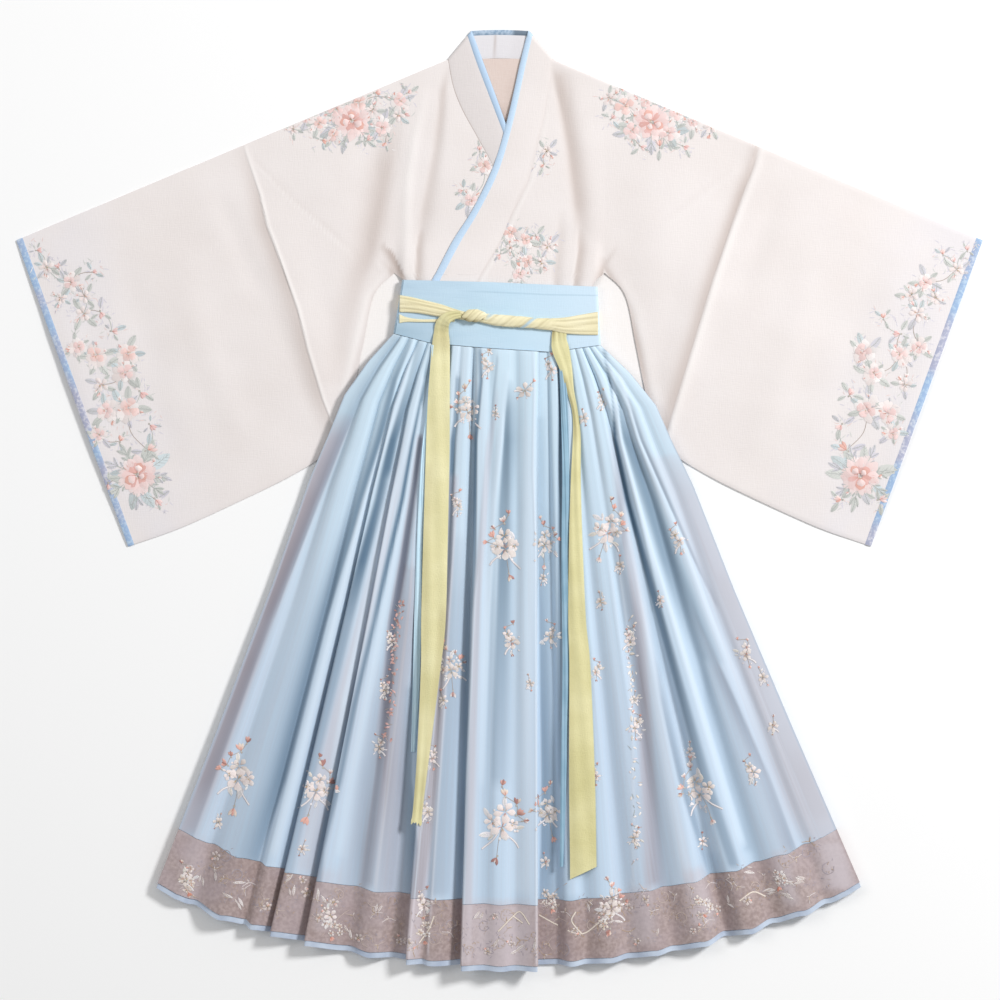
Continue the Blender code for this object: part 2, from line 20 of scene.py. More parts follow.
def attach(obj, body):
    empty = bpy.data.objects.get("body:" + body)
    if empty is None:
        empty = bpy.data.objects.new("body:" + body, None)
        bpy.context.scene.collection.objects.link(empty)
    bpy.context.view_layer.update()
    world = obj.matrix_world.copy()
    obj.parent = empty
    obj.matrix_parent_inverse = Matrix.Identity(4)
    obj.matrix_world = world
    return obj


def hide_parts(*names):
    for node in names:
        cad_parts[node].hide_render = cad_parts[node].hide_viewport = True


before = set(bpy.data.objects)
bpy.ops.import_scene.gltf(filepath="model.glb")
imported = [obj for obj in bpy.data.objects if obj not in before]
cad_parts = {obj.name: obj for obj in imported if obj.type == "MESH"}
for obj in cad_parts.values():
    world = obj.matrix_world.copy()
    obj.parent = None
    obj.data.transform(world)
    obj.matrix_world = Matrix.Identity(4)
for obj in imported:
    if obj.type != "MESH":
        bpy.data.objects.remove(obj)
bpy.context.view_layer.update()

MM = 0.001

# ---- cloth and layers ---------------------------------------------------------------------------
WALL = 1.0
CLEAR = 0.4
LAYER = WALL + CLEAR
SEAM = 0.3
GROUND = WALL / 2
SHELL = 0.7                     # wall of the fine cloth
JOIN = 0.02                     # points of one piece that lie closer than this become one

# ---- top ----------------------------------------------------------------------------------------
NECK_X, NECK_Y = 76, 646
CUFF_X, CUFF_Y = 711, 380
ARMPIT_X, ARMPIT_Y = 155, 333
SLEEVE_SEAM_X = 378
CUFF_BAND = 9
TUCK_X, TUCK_Y = 131, 170
TUCK_START = 324
SLEEVE_PUFF = 4
SLEEVE_RIDGE = 3
BODY_PUFF = 3

FRONT_UNDERARM = ((155, 333), (185, 300), (201, 226), (219, 140), (237, 98))
BACK_UNDERARM = ((155, 333), (136, 316), (139, 215), (185, 135), (237, 98))
SLEEVE_FOOT = ((0, 237, 98), (0.12, 256, 68), (0.28, 298, 40), (0.5, 367, 5), (0.76, 468, -41),
               (1, 547, -69))

# collar stations: the edge with the piping, then the sewn edge
BACK_COLLAR = ((-24, 690, -37, 648), (0, 690.5, 0, 649), (24, 690, 37, 648))
UNDER_COLLAR = ((-41, 689, -76, 647), (-27, 651, -68, 606), (-9, 603, -54, 571), (11, 547, -32, 531),
                (31, 491, -6, 481), (60, 411, 20, 401), (88, ARMPIT_Y, 46, ARMPIT_Y),
                (91, TUCK_START, 49, TUCK_START), (102, 290, 60, 290))
OVER_COLLAR = ((42, 689, 78, 647), (30, 640, 73, 605), (11, 556, 62, 548), (-10, 487, 42, 469),
               (-40, 425, 18, 420), (-68, 381, 2, 381), (-93, ARMPIT_Y, -26, ARMPIT_Y),
               (-98, TUCK_START, -31, TUCK_START), (-126, 262, -60, 262))
PIPING = 0.17
BACK_SEAM_X = 6.6

# ---- skirt --------------------------------------------------------------------------------------
WAIST_LEFT, WAIST_RIGHT = -155, 148
HEM_LEFT, HEM_RIGHT = -504, 531
HEM_RADIUS, HEM_CENTRE_X = 1224, 12
HEM_LOW_Y = -686
SKIRT_LENGTH = 908
BAND_TOP, BAND_FOOT = 0.893, 0.991
WAISTBAND_WALL = 2 * WALL + CLEAR
STACK = 3 * LAYER + 0.3
FOLD_DROP = 0.3
WAIST_TOP = ((-142, 322), (-21, 319), (143, 312))
WAIST_SEAM = ((-155, 243), (-101, 229), (-21, 222), (74, 216), (148, 226))
FLARE = ((0, 0), (0.05, 0.11), (0.11, 0.21), (0.18, 0.275), (0.26, 0.355), (0.45, 0.51), (0.7, 0.73),
         (1, 1))
FOLD_SHARE_AT_WAIST = 0.20
DEEP_FOLD = 13                  # beside a rise of this or more, a valley has its full shade

# every crest and valley: place at the waist, place at the hem, height at the hem, and how densely
# the organza lies there at the waist and at the hem
Fold = namedtuple("Fold", "waist hem height veil_waist veil_hem")
FOLDS = (
    Fold(-150, -476, 12, 0.35, 0.80), Fold(-145, -452, 4, 0.30, 0.75), Fold(-139, -408, 22, 0.15, 0.25),
    Fold(-133, -377, 7, 0.05, 0.10), Fold(-127, -362, 17, 0.10, 0.10), Fold(-120, -331, 0, 0.05, 0.35),
    Fold(-114, -334, 20, 0.30, 0.45), Fold(-106, -281, 0, 0.10, 0.70), Fold(-100, -284, 21, 0.40, 0.65),
    Fold(-93, -227, 5, 0.05, 0.10), Fold(-86, -190, 15, 0.30, 0.75), Fold(-79, -160, 1, 0.05, 0.20),
    Fold(-72, -133, 1, 0.30, 0.15), Fold(-65, -136, 21, 0.60, 0.80), Fold(-56, -115, 12, 0.70, 0.80),
    Fold(-48, -98, 17, 0.65, 0.30), Fold(-38, -52, 0, 0.45, 0.15), Fold(-26, -55, 27, 0.60, 0.85),
    Fold(-11, -24, 19, 0.25, 0.15), Fold(6, 1, 25, 0.10, 0.10), Fold(26, 24, 19, 0.10, 0.20),
    Fold(48, 54, 27, 0.30, 0.60), Fold(59, 51, 0, 0.10, 0.25), Fold(70, 84, 1, 0.05, 0.05),
    Fold(78, 107, 15, 0.05, 0.05), Fold(85, 130, 9, 0.05, 0.05), Fold(92, 162, 16, 0.10, 0.15),
    Fold(99, 193, 7, 0.20, 0.65), Fold(105, 229, 15, 0.15, 0.60), Fold(111, 259, 9, 0.05, 0.25),
    Fold(117, 300, 19, 0.15, 0.60), Fold(122, 334, 0, 0.05, 0.30), Fold(127, 368, 19, 0.10, 0.15),
    Fold(132, 405, 6, 0.05, 0.20), Fold(136, 446, 18, 0.20, 0.70), Fold(140, 483, 8, 0.20, 0.60),
    Fold(144, 509, 11, 0.30, 0.80),
)

# ---- belt and ties ------------------------------------------------------------------------------
Strand = namedtuple("Strand", "x y width depth")
BELT_ROUTE = (Strand(-146, 287, 25, 3), Strand(-131, 285.5, 23, 4), Strand(-116, 283, 21, 5),
              Strand(-87, 277, 19, 5.5), Strand(-68, 272.5, 15, 5.5), Strand(-52, 269, 13, 6),
              Strand(-36, 267, 12, 6), Strand(-14, 264, 16, 7), Strand(5, 261.7, 17.5, 8),
              Strand(30, 260, 17, 8), Strand(52, 258, 16, 8), Strand(74, 256.5, 18, 7),
              Strand(96, 255, 23.5, 5.5), Strand(118, 256, 29, 4), Strand(144, 258, 34, 2.5))
BELT_BACK = (Strand(145, 258, 34, WALL), Strand(116, 261, 34, WALL), Strand(72, 264, 34, WALL),
             Strand(-79, 277, 34, WALL), Strand(-122, 282, 32, WALL), Strand(-148, 286, 28, WALL))
# the lines at the waistband's two sides round which the belt turns
BELT_EDGES = {-1: ((-155, 243), (-142, 322)), 1: ((148, 226), (143, 312))}
SECOND_ROUTE = (Strand(-147, 265, 13, 1.6), Strand(-136, 263.5, 7, 2), Strand(-117, 262, 4.5, 2.5),
                Strand(-90, 262, 4.5, 2.5), Strand(-66, 262.5, 4, 2))
TAIL_LEFT = ((-57, 271, 5), (-68, 269.5, 6.4), (-78, 265, 8.4), (-84, 256, 10), (-85.5, 244, 11),
             (-86, 224, 13), (-89, 150, 16), (-91, 57, 17.5), (-94, -60, 18), (-97, -178, 18),
             (-101, -248, 14.5), (-112, -376, 9), (-120, -456, 7), (-122, -474, 8))
TAIL_RIGHT = ((89, 256, 9), (88, 244, 10.5), (87.5, 234, 11), (90, 219, 12.5), (98, 190, 8.8),
              (104, 160, 5.3), (110, 134, 4.1), (112.5, 113, 4.6), (113.5, 87, 5.9), (112, 22, 7.5),
              (112, -68, 10), (114, -178, 13), (118, -248, 15.5), (121, -409, 19), (123, -540, 19.5))
TAIL_RIGHT_SLANT = 18
TIE_LEFT = ((-96, 226, 4), (-101, 150, 4), (-111, 57, 4), (-118, -90, 4.5), (-122, -248, 5),
            (-127, -372, 3))
TIE_RIGHT = ((89, 215, 4), (93, 187, 5), (97, 57, 5), (96, -90, 5), (97, -248, 4.5),
             (94, -409, 4), (91, -540, 2.5))


# ---- small tools --------------------------------------------------------------------------------
def smooth(low, high, value):
    """Ease from 0 at low to 1 at high."""
    share = np.clip((np.asarray(value, float) - low) / (high - low), 0, 1)
    return share * share * (3 - 2 * share)


def mix(start, end, share):
    return start + (end - start) * share


def along(table, value, column=1):
    """A column of a table against its first, with straight runs between rows."""
    return np.interp(value, [row[0] for row in table], [row[column] for row in table])


def flowing(stops, count):
    """A smooth line through a table's rows: count steps from each row to the next."""
    stops = np.array(stops, float)
    stops = np.vstack([2 * stops[0] - stops[1], stops, 2 * stops[-1] - stops[-2]])
    before, start, end, after = stops[:-3], stops[1:-2], stops[2:-1], stops[3:]
    line = []
    for t in np.arange(count) / count:
        line.append(0.5 * (2 * start + (end - before) * t
                           + (2 * before - 5 * start + 4 * end - after) * t * t
                           + (3 * start - before - 3 * end + after) * t ** 3))
    line = np.stack(line, axis=1).reshape(-1, stops.shape[1])
    return np.vstack([line, stops[-2]])


def ripple(x, y, seed, size):
    """Soft uneven hollows and rises, from -1 to 1, about size millimetres across."""
    draw = np.random.default_rng(seed)
    total = np.zeros(np.broadcast(x, y).shape)
    for _ in range(7):
        turn, phase = draw.uniform(0, 2 * math.pi, 2)
        pitch = size * draw.uniform(0.7, 1.8)
        total = total + np.sin((x * math.cos(turn) + y * math.sin(turn)) * 2 * math.pi / pitch + phase)
    return total / 4.0


def grid_faces(rows, columns, first=0):
    """Quads over rows of points that run downwards, facing up."""
    corner = first + np.arange(rows - 1)[:, None] * columns + np.arange(columns - 1)[None, :]
    quads = np.stack([corner, corner + columns, corner + columns + 1, corner + 1], axis=-1)
    return quads.reshape(-1, 4)


def face_outward(mesh, joined=False):
    """Turn a mesh's faces outward, once points that coincide are joined if that is asked for."""
    work = bmesh.new()
    work.from_mesh(mesh)
    if joined:
        bmesh.ops.remove_doubles(work, verts=work.verts, dist=JOIN * MM)
    bmesh.ops.recalc_face_normals(work, faces=work.faces)
    work.to_mesh(mesh)
    work.free()


def add_object(name, points, faces, material, values=None, wall=0.0, weld=False, angle=60):
    """A mesh object from points in millimetres, with a wall if it is cloth."""
    mesh = bpy.data.meshes.new(name)
    mesh.from_pydata((np.asarray(points, float) * MM).tolist(), [],
                     faces.tolist() if hasattr(faces, "tolist") else faces)
    for key, data in (values or {}).items():
        data = np.asarray(data, np.float32)
        kind = "FLOAT" if data.ndim == 1 else "FLOAT_COLOR"
        layer = mesh.attributes.new(key, kind, "POINT")
        layer.data.foreach_set("value" if data.ndim == 1 else "color", data.ravel())
    if weld:
        face_outward(mesh, joined=True)
    mesh.materials.append(material)
    thing = bpy.data.objects.new(name, mesh)
    bpy.context.scene.collection.objects.link(thing)
    if wall:
        solid = thing.modifiers.new("Wall", "SOLIDIFY")
        solid.thickness = wall * MM
        solid.offset = 0
        ready = thing.evaluated_get(bpy.context.evaluated_depsgraph_get())
        thing.data = bpy.data.meshes.new_from_object(ready)
        thing.modifiers.clear()
    thing.data.shade_smooth()
    thing.data.set_sharp_from_angle(angle=math.radians(angle))
    return thing


class Patches:
    """Several grids of points that become one mesh."""

    def __init__(self):
        self.points, self.faces, self.values, self.count = [], [], {}, 0

    def add(self, grid, **values):
        rows, columns = grid.shape[:2]
        self.points.append(grid.reshape(-1, 3))
        self.faces.append(grid_faces(rows, columns, self.count))
        for key, data in values.items():
            self.values.setdefault(key, []).append(np.broadcast_to(data, (rows, columns)).ravel())
        self.count += rows * columns

    def build(self, name, material, wall=SHELL, weld=True, angle=60):
        values = {key: np.concatenate(parts) for key, parts in self.values.items()}
        return add_object(name, np.vstack(self.points), np.vstack(self.faces), material, values, wall,
                          weld, angle)


def grid(x, y, z):
    return np.stack(np.broadcast_arrays(x, y, z), axis=-1)


# ---- skirt sections -----------------------------------------------------------------------------
STEPS_PER_FOLD = 12
SKIRT_ROWS = 86
BACK_STEPS = 60
LAST_FOLD = len(FOLDS) - 1

# narrow creases between the main folds: place among the folds, half width, height, and where each
# starts, is fullest and ends on the way down
Tuck = namedtuple("Tuck", "fold half height start full end")
TUCKS = (
    Tuck(0.5, 0.28, 2.0, 0.30, 0.7, 1.3), Tuck(2.6, 0.22, 2.2, 0.10, 0.5, 0.9),
    Tuck(3.3, 0.20, 1.6, 0.40, 0.8, 1.3), Tuck(5.6, 0.25, 1.8, 0.05, 0.3, 0.7),
    Tuck(7.5, 0.22, 2.6, 0.15, 0.6, 1.2), Tuck(9.5, 0.25, 2.2, 0.35, 0.8, 1.3),
    Tuck(11.5, 0.30, 1.6, 0.55, 0.9, 1.4), Tuck(15.5, 0.22, 1.8, 0.45, 0.8, 1.3),
    Tuck(17.55, 0.18, 1.8, 0.10, 0.4, 0.9), Tuck(18.6, 0.30, 1.6, 0.25, 0.6, 1.1),
    Tuck(19.5, 0.22, 2.0, 0.02, 0.2, 0.6), Tuck(20.4, 0.25, 1.8, 0.05, 0.5, 1.0),
    Tuck(23.5, 0.28, 1.6, 0.20, 0.6, 1.1), Tuck(25.5, 0.25, 2.2, 0.02, 0.3, 0.9),
    Tuck(26.5, 0.22, 1.8, 0.15, 0.7, 1.2), Tuck(28.5, 0.25, 2.0, 0.20, 0.5, 0.9),
    Tuck(30.4, 0.22, 2.0, 0.30, 0.7, 1.2), Tuck(31.6, 0.22, 2.4, 0.10, 0.4, 0.9),
    Tuck(33.4, 0.26, 2.0, 0.15, 0.5, 1.0), Tuck(35.4, 0.24, 1.8, 0.30, 0.7, 1.2),
)


# what runs down the skirt over its folds: a line of (x, y, strength) from waist to hem, its reach to
# the left and to the right (at the waist, at the hem, and how sharply it ends), its height, how
# dark its painted shade is, how veiled it is, and how pale its painted highlight is
Stream = namedtuple("Stream", "line left right height dark veil pale")
STREAMS = (
    Stream(((-149, 234, 0.8), (-189, 175, 0.9), (-212, 131, 0.95), (-232, 87, 1), (-337, -178, 0.9),
            (-423, -413, 0.8), (-458, -509, 0.5)), (13.2, 25.0, 2), (2.9, 4.4, 4), -1, 0.42, 0, 0),
    Stream(((-226, 116, 0.3), (-240, 87, 0.8), (-277, -1, 1), (-346, -178, 1), (-430, -413, 0.9),
            (-458, -487, 0.6)), (23.5, 32.3, 4), (11.8, 14.7, 4), 0, 0.05, 1.05, 0),
    Stream(((-227, 57, 0.4), (-254, -1, 0.8), (-280, -90, 1), (-311, -178, 1), (-384, -413, 0.6),
            (-418, -501, 0.3)), (8.8, 11.8, 2), (8.8, 11.8, 2), 1.8, 0, 0, 0.3),
    Stream(((-133, 231, 0.5), (-155, 175, 0.85), (-177, 87, 1), (-259, -178, 0.85),
            (-320, -413, 0.9), (-355, -516, 0.7), (-367, -560, 0.5)),
           (4.4, 35.3, 2), (4.4, 7.3, 4), -1.5, 0.74, 0, 0),
    Stream(((-127, 222, 0.5), (-140, 175, 1), (-195, -1, 1), (-302, -413, 0.7), (-333, -516, 0.6)),
           (4.4, 10.3, 3), (3.7, 10.3, 3), 1.5, 0, 0.1, 0.7),
    Stream(((-117, 225, 0.3), (-129, 175, 0.45), (-157, 87, 1), (-176, -1, 1), (-201, -90, 1),
            (-224, -178, 0.6), (-308, -516, 0.35), (-323, -597, 0.2)),
           (6.6, 11.8, 4), (6.6, 13.2, 4), -1.8, 0.84, 0, 0),
    Stream(((-136, 101, 0.2), (-157, -1, 0.7), (-199, -178, 0.9), (-267, -442, 0.7),
            (-283, -545, 0.5)), (5.9, 17.6, 4), (7.3, 14.7, 4), 0, 0, 0.8, 0.1),
    Stream(((-159, 28, 0.4), (-180, -90, 1), (-226, -295, 1), (-246, -413, 0.6)),
           (7.3, 10.3, 2), (5.9, 7.3, 2), 3.5, 0, 0.1, 0.8),
    Stream(((-115, 175, 0.9), (-158, -1, 1), (-192, -178, 0.7), (-221, -295, 0.5),
            (-283, -516, 0.3)), (5.1, 8.8, 2), (4.4, 7.3, 3), 1.2, 0, 0, 0.6),
    Stream(((-102, 216, 0.3), (-110, 175, 0.7), (-127, 87, 0.95), (-143, -1, 0.95),
            (-212, -295, 0.7), (-236, -413, 0.65), (-262, -516, 0.5), (-276, -641, 0.4)),
           (2.6, 8.8, 3), (2.9, 5.9, 4), -2.2, 0.9, 0, 0),
    Stream(((-115, 131, 0.7), (-123, 87, 1), (-137, -1, 0.9), (-220, -413, 0.6), (-237, -516, 0.5)),
           (2.2, 5.9, 3), (2.6, 11.8, 2), 1, 0, 0, 0.65),
    Stream(((-170, -251, 0.4), (-176, -295, 0.8), (-195, -413, 1), (-205, -516, 1),
            (-217, -589, 0.7)), (14.7, 19.1, 2), (10.3, 13.2, 2), -1, 0.3, 0.35, 0),
    Stream(((-118, 87, 1), (-142, -90, 0.95), (-157, -178, 0.95), (-176, -413, 0.5),
            (-196, -567, 0.4)), (3.2, 11.8, 4), (4.4, 11.8, 4), -0.6, 0.66, 1.25, 0),
    Stream(((-130, -104, 0.5), (-136, -178, 0.9), (-151, -295, 0.8), (-154, -413, 1),
            (-161, -575, 0.8)), (8.8, 20.6, 4), (8.8, 22.1, 4), -0.5, 0.24, 0.65, 0),
    Stream(((-123, -1, 0.5), (-132, -148, 1), (-182, -567, 1)),
           (1.5, 1.9, 2), (1.5, 1.9, 2), 0.5, 0, 0.6, 0.4),
    Stream(((-129, -281, 0.5), (-133, -413, 0.7), (-123, -516, 0.75), (-126, -597, 0.5)),
           (17.6, 32.3, 2), (3.7, 4.4, 4), -1, 0.55, 0, 0),
    Stream(((-70, 28, 0.8), (-89, -295, 1), (-99, -413, 1), (-130, -670, 1)),
           (7.3, 13.2, 4), (5.9, 11.8, 4), 1, 0.16, 1, 0.15),
    Stream(((-80, -148, 0.4), (-85, -207, 1), (-98, -354, 1), (-117, -501, 1), (-133, -670, 1)),
           (1.5, 1.6, 2), (1.5, 1.6, 2), 0.6, 0, 0.5, 0.6),
    Stream(((-61, 28, 0.6), (-77, -207, 1), (-80, -295, 1), (-105, -663, 1)),
           (1.5, 1.6, 2), (1.5, 1.6, 2), 0.5, 0, 0.5, 0.5),
    Stream(((-61, 175, 0.6), (-64, 116, 0.8), (-68, 87, 1), (-71, -1, 1), (-73, -90, 0.8),
            (-77, -148, 0.4)), (4.4, 4.4, 4), (3.7, 3.7, 3), -1, 0.8, 0, 0),
    Stream(((-58, -60, 0.3), (-62, -148, 0.8), (-70, -295, 1), (-87, -575, 0.8)),
           (11.8, 19.1, 4), (13.2, 20.6, 4), -0.4, 0.27, 0.1, 0),
    Stream(((-29, 216, 0.6), (-27, 175, 0.8), (-35, 87, 1), (-36, -1, 1), (-37, -90, 0.8),
            (-43, -178, 0.6), (-52, -516, 0.6), (-57, -597, 0.4)),
           (3.7, 14.7, 2), (2.2, 3.5, 4), -1.6, 0.8, 0, 0),
    Stream(((-4, 153, 0.2), (-15, 79, 0.8), (-33, -148, 0.9), (-49, -678, 1)),
           (4.4, 5.9, 4), (4.4, 7.3, 4), 0.8, 0.04, 0.7, 0.2),
    Stream(((-29, -90, 0.4), (-36, -148, 1), (-48, -413, 1), (-55, -678, 1)),
           (1.5, 1.5, 2), (1.5, 1.8, 2), 0.6, 0, 0.3, 0.8),
    Stream(((11, 182, 0.4), (2, 87, 0.9), (-8, -1, 1), (-18, -178, 0.8), (-26, -413, 0.3)),
           (5.9, 7.3, 2), (2.9, 4.4, 4), 1.2, 0, 0, 0.7),
    Stream(((14, 168, 0.2), (10, 131, 0.8), (10, 87, 1), (4, -16, 0.8), (4, -90, 0.9),
            (-5, -413, 0.35)), (3.7, 11.8, 4), (17.6, 20.6, 2), -1.2, 0.66, 0, 0),
    Stream(((-4, 204, 0.5), (-10, 146, 0.7), (-17, 43, 0.4)),
           (2.1, 2.1, 2), (2.1, 2.1, 2), -0.8, 0.5, 0, 0),
    Stream(((29, -31, 0.4), (29, -90, 1), (24, -413, 0.5)),
           (7.3, 8.8, 2), (8.8, 10.3, 2), 1.2, 0, 0, 0.3),
    Stream(((45, 101, 0.4), (43, -1, 0.9), (45, -90, 0.9), (40, -178, 0.8), (36, -575, 0.8)),
           (8.8, 17.6, 2), (7.3, 11.8, 3), 0.6, 0, 0.1, 0.5),
    Stream(((49, 219, 0.2), (51, 175, 0.7), (49, 43, 0.9), (54, -90, 1), (54, -678, 1)),
           (1.5, 1.8, 2), (1.5, 1.8, 2), 0.8, 0, 0.2, 0.85),
    Stream(((1, -600, 1), (1, -685, 1)), (44.1, 44.1, 6), (48.5, 48.5, 6), 0, 0, 0.9, 0.15),
    Stream(((-73, -595, 1), (-70, -670, 1)), (14.7, 14.7, 4), (13.2, 13.2, 4), 0, 0.2, 0, 0),
    Stream(((107, -592, 1), (110, -663, 1)), (44.1, 44.1, 4), (38.2, 38.2, 4), 0, 0.22, -0.1, 0),
    Stream(((207, -575, 1), (211, -645, 1)), (19.1, 19.1, 4), (19.1, 19.1, 4), 0, 0, 0.5, 0.1),
    Stream(((245, -560, 1), (254, -634, 1)), (10.3, 10.3, 3), (10.3, 10.3, 3), 0, 0.2, 0, 0),
    Stream(((286, -548, 1), (301, -619, 1)), (19.1, 19.1, 4), (17.6, 17.6, 4), 0, 0, 0.6, 0.15),
    Stream(((412, -525, 1), (427, -589, 1)), (13.2, 13.2, 3), (13.2, 13.2, 3), 0, 0, 0.5, 0.15),
    Stream(((489, -509, 1), (503, -567, 1)), (26.5, 26.5, 3), (20.6, 20.6, 3), 0, 0, 0.9, 0.2),
    Stream(((-446, -504, 0.6), (-455, -589, 0.8)),
           (17.6, 17.6, 3), (17.6, 17.6, 3), 0, 0, 0.4, 0.1),
    Stream(((-252, -548, 0.8), (-261, -626, 1)), (17.6, 17.6, 3), (20.6, 20.6, 3), 0, 0, 0.4, 0.05),
    Stream(((57, 116, 0.35), (57, -1, 0.4), (60, -90, 0.75), (65, -413, 1), (64, -516, 1),
            (61, -589, 0.7)), (2.2, 4.4, 4), (5.9, 35.3, 2), -1.5, 0.52, 0, 0),
    Stream(((89, 219, 1), (89, -413, 0.5)), (2.9, 5.9, 3), (3.7, 4.4, 3), -1.5, 0.85, 0, 0),
    Stream(((130, 168, 0.4), (133, 146, 0.9), (143, 87, 1), (158, -1, 1), (171, -60, 0.5)),
           (7.3, 10.3, 2), (7.3, 10.3, 2), 1.8, 0, 0, 0.35),
    Stream(((148, 175, 0.5), (157, 146, 1), (162, 119, 0.5)),
           (5.9, 8.8, 2), (5.9, 8.8, 2), 2, 0, 0, 0.5),
    Stream(((174, 168, 0.4), (201, 87, 1), (218, 43, 0.4)),
           (4.4, 5.9, 2), (4.4, 5.9, 2), 2, 0, 0, 0.6),
    Stream(((164, 87, 0.4), (174, -90, 0.6), (186, -178, 0.8), (193, -295, 1), (196, -384, 1),
            (196, -567, 1)), (1.5, 1.8, 2), (1.5, 1.8, 2), 0.5, 0, 0.3, 0.5),
    Stream(((167, 101, 0.1), (179, -1, 0.5), (179, -90, 0.5), (198, -178, 0.6), (236, -567, 0.8)),
           (2.9, 20.6, 2), (2.9, 13.2, 2), -1, 0.5, 0.6, 0),
    Stream(((165, 101, 0.2), (180, -16, 0.7), (205, -178, 1), (224, -560, 0.9)),
           (4.4, 11.8, 4), (5.9, 14.7, 4), 0, 0, 0.6, 0.05),
    Stream(((198, -60, 0.3), (215, -178, 0.8), (249, -413, 0.6), (267, -516, 0.7),
            (277, -556, 0.6)), (4.4, 11.8, 3), (2.9, 8.8, 3), 1, 0, 0.3, 0.5),
    Stream(((229, -237, 0.2), (240, -295, 0.8), (268, -413, 1), (312, -553, 0.8)),
           (2.9, 7.3, 4), (4.4, 13.2, 2), -1, 0.5, 0, 0),
    Stream(((239, -266, 0.4), (282, -413, 0.6), (318, -516, 0.6)),
           (4.4, 11.8, 2), (2.9, 7.3, 3), 0.8, 0, 0.1, 0.45),
    Stream(((154, 216, 0.5), (168, 146, 0.9), (170, 87, 1), (187, -1, 1), (301, -413, 0.5),
            (342, -538, 0.5)), (2.4, 7.3, 3), (3.2, 11.8, 4), -2.2, 0.88, 0, 0),
    Stream(((159, 204, 0.5), (167, 175, 0.9), (177, 87, 1), (201, -1, 1), (226, -90, 1),
            (255, -178, 0.9), (354, -501, 0.5)), (3.2, 8.8, 3), (2.4, 7.3, 4), 1.4, 0, 0.05, 0.8),
    Stream(((167, 168, 0.4), (189, 87, 1), (249, -90, 0.85), (304, -237, 0.4)),
           (3.2, 35.3, 4), (3.7, 38.2, 3), -1.8, 0.72, -0.3, 0),
    Stream(((283, -207, 0.3), (295, -237, 0.7), (306, -295, 0.8), (321, -354, 0.6),
            (368, -516, 0.8)), (4.4, 10.3, 2), (5.9, 11.8, 2), -1, 0.4, -0.3, 0),
    Stream(((280, -148, 0.2), (289, -178, 0.7), (343, -295, 0.9), (395, -413, 0.8),
            (430, -509, 0.9), (437, -531, 0.6)),
           (5.9, 17.6, 2), (2.9, 4.4, 3), -1.2, 0.42, 0.35, 0),
    Stream(((170, 201, 0.3), (180, 175, 0.8), (201, 87, 1), (277, -90, 1), (311, -178, 0.8),
            (361, -295, 0.5), (418, -413, 0.4), (449, -487, 0.3)),
           (3.7, 11.8, 2), (2.4, 8.8, 4), 1, 0, 0.2, 0.5),
    Stream(((189, 146, 0.5), (208, 87, 1), (287, -90, 0.9), (318, -156, 0.5)),
           (1.8, 2.9, 4), (2.9, 4.4, 2), -1, 0.5, 0.3, 0),
    Stream(((248, 57, 0.4), (280, -1, 0.8), (337, -126, 1), (465, -454, 1), (487, -494, 0.8)),
           (20.6, 50.0, 4), (17.6, 44.1, 4), 0, 0, 0.85, 0.3),
)


def hem_y(x):
    reach = x - HEM_CENTRE_X
    return HEM_LOW_Y + HEM_RADIUS - np.sqrt(HEM_RADIUS ** 2 - reach ** 2)


def place_on_skirt(waist, hem, down):
    """Plan position of a fold line, the given share of the way down from waist to hem."""
    swing = mix(down, along(FLARE, down), np.minimum(1.0, np.abs(hem) / HEM_RIGHT))
    return mix(waist, hem, swing), mix(along(WAIST_SEAM, waist) - 2 * SEAM, hem_y(hem), down)


def skirt_edges(down):
    left = place_on_skirt(WAIST_LEFT, HEM_LEFT, down)[0]
    right = place_on_skirt(WAIST_RIGHT, HEM_RIGHT, down)[0]
    return left, right


def back_pleats(out, down):
    """The back's pressed pleats: low ridges that run from waist to hem."""
    wave = 0.5 - 0.5 * np.cos(out * 2 * math.pi * 8.5 + 0.9 * np.sin(out * 7 + 1.3))
    return 1.3 * wave ** 3 * smooth(0.08, 0.3, down)


def back_height(x, down):
    """Middle height of the lining's back: over the belt's back stretch and the sleeves' hidden edges."""
    left, right = skirt_edges(np.maximum(0.0, down))
    out = (2 * x - left - right) / (right - left)
    belt = 1 - smooth(0.02, 0.12, down)
    above_hem = 1 - smooth(0.20, 0.30, down)
    one_sleeve_layer = smooth(0.5, 0.78, abs(out)) * above_hem
    two_layers = smooth(0.76, 0.92, abs(out)) * smooth(0.03, 0.09, down) * above_hem
    return (GROUND + LAYER + LAYER * (belt + one_sleeve_layer) + (LAYER + 1.0) * two_layers
            + back_pleats(out, down))


def front_height(x, down):
    """Middle height of the lining's front in its valleys, above the tucked top and the back."""
    return back_height(x, down) + LAYER + STACK * (1 - smooth(0.08, 0.24, down))


def tuck_height(folds, down):
    """Extra height of the narrow creases at places among the folds."""
    total = np.zeros(len(folds))
    for tuck in TUCKS:
        length = smooth(tuck.start, tuck.full, down) * (1 - smooth(tuck.full, tuck.end, down))
        total += tuck.height * length * np.exp(-((folds - tuck.fold) / tuck.half) ** 2)
    return total


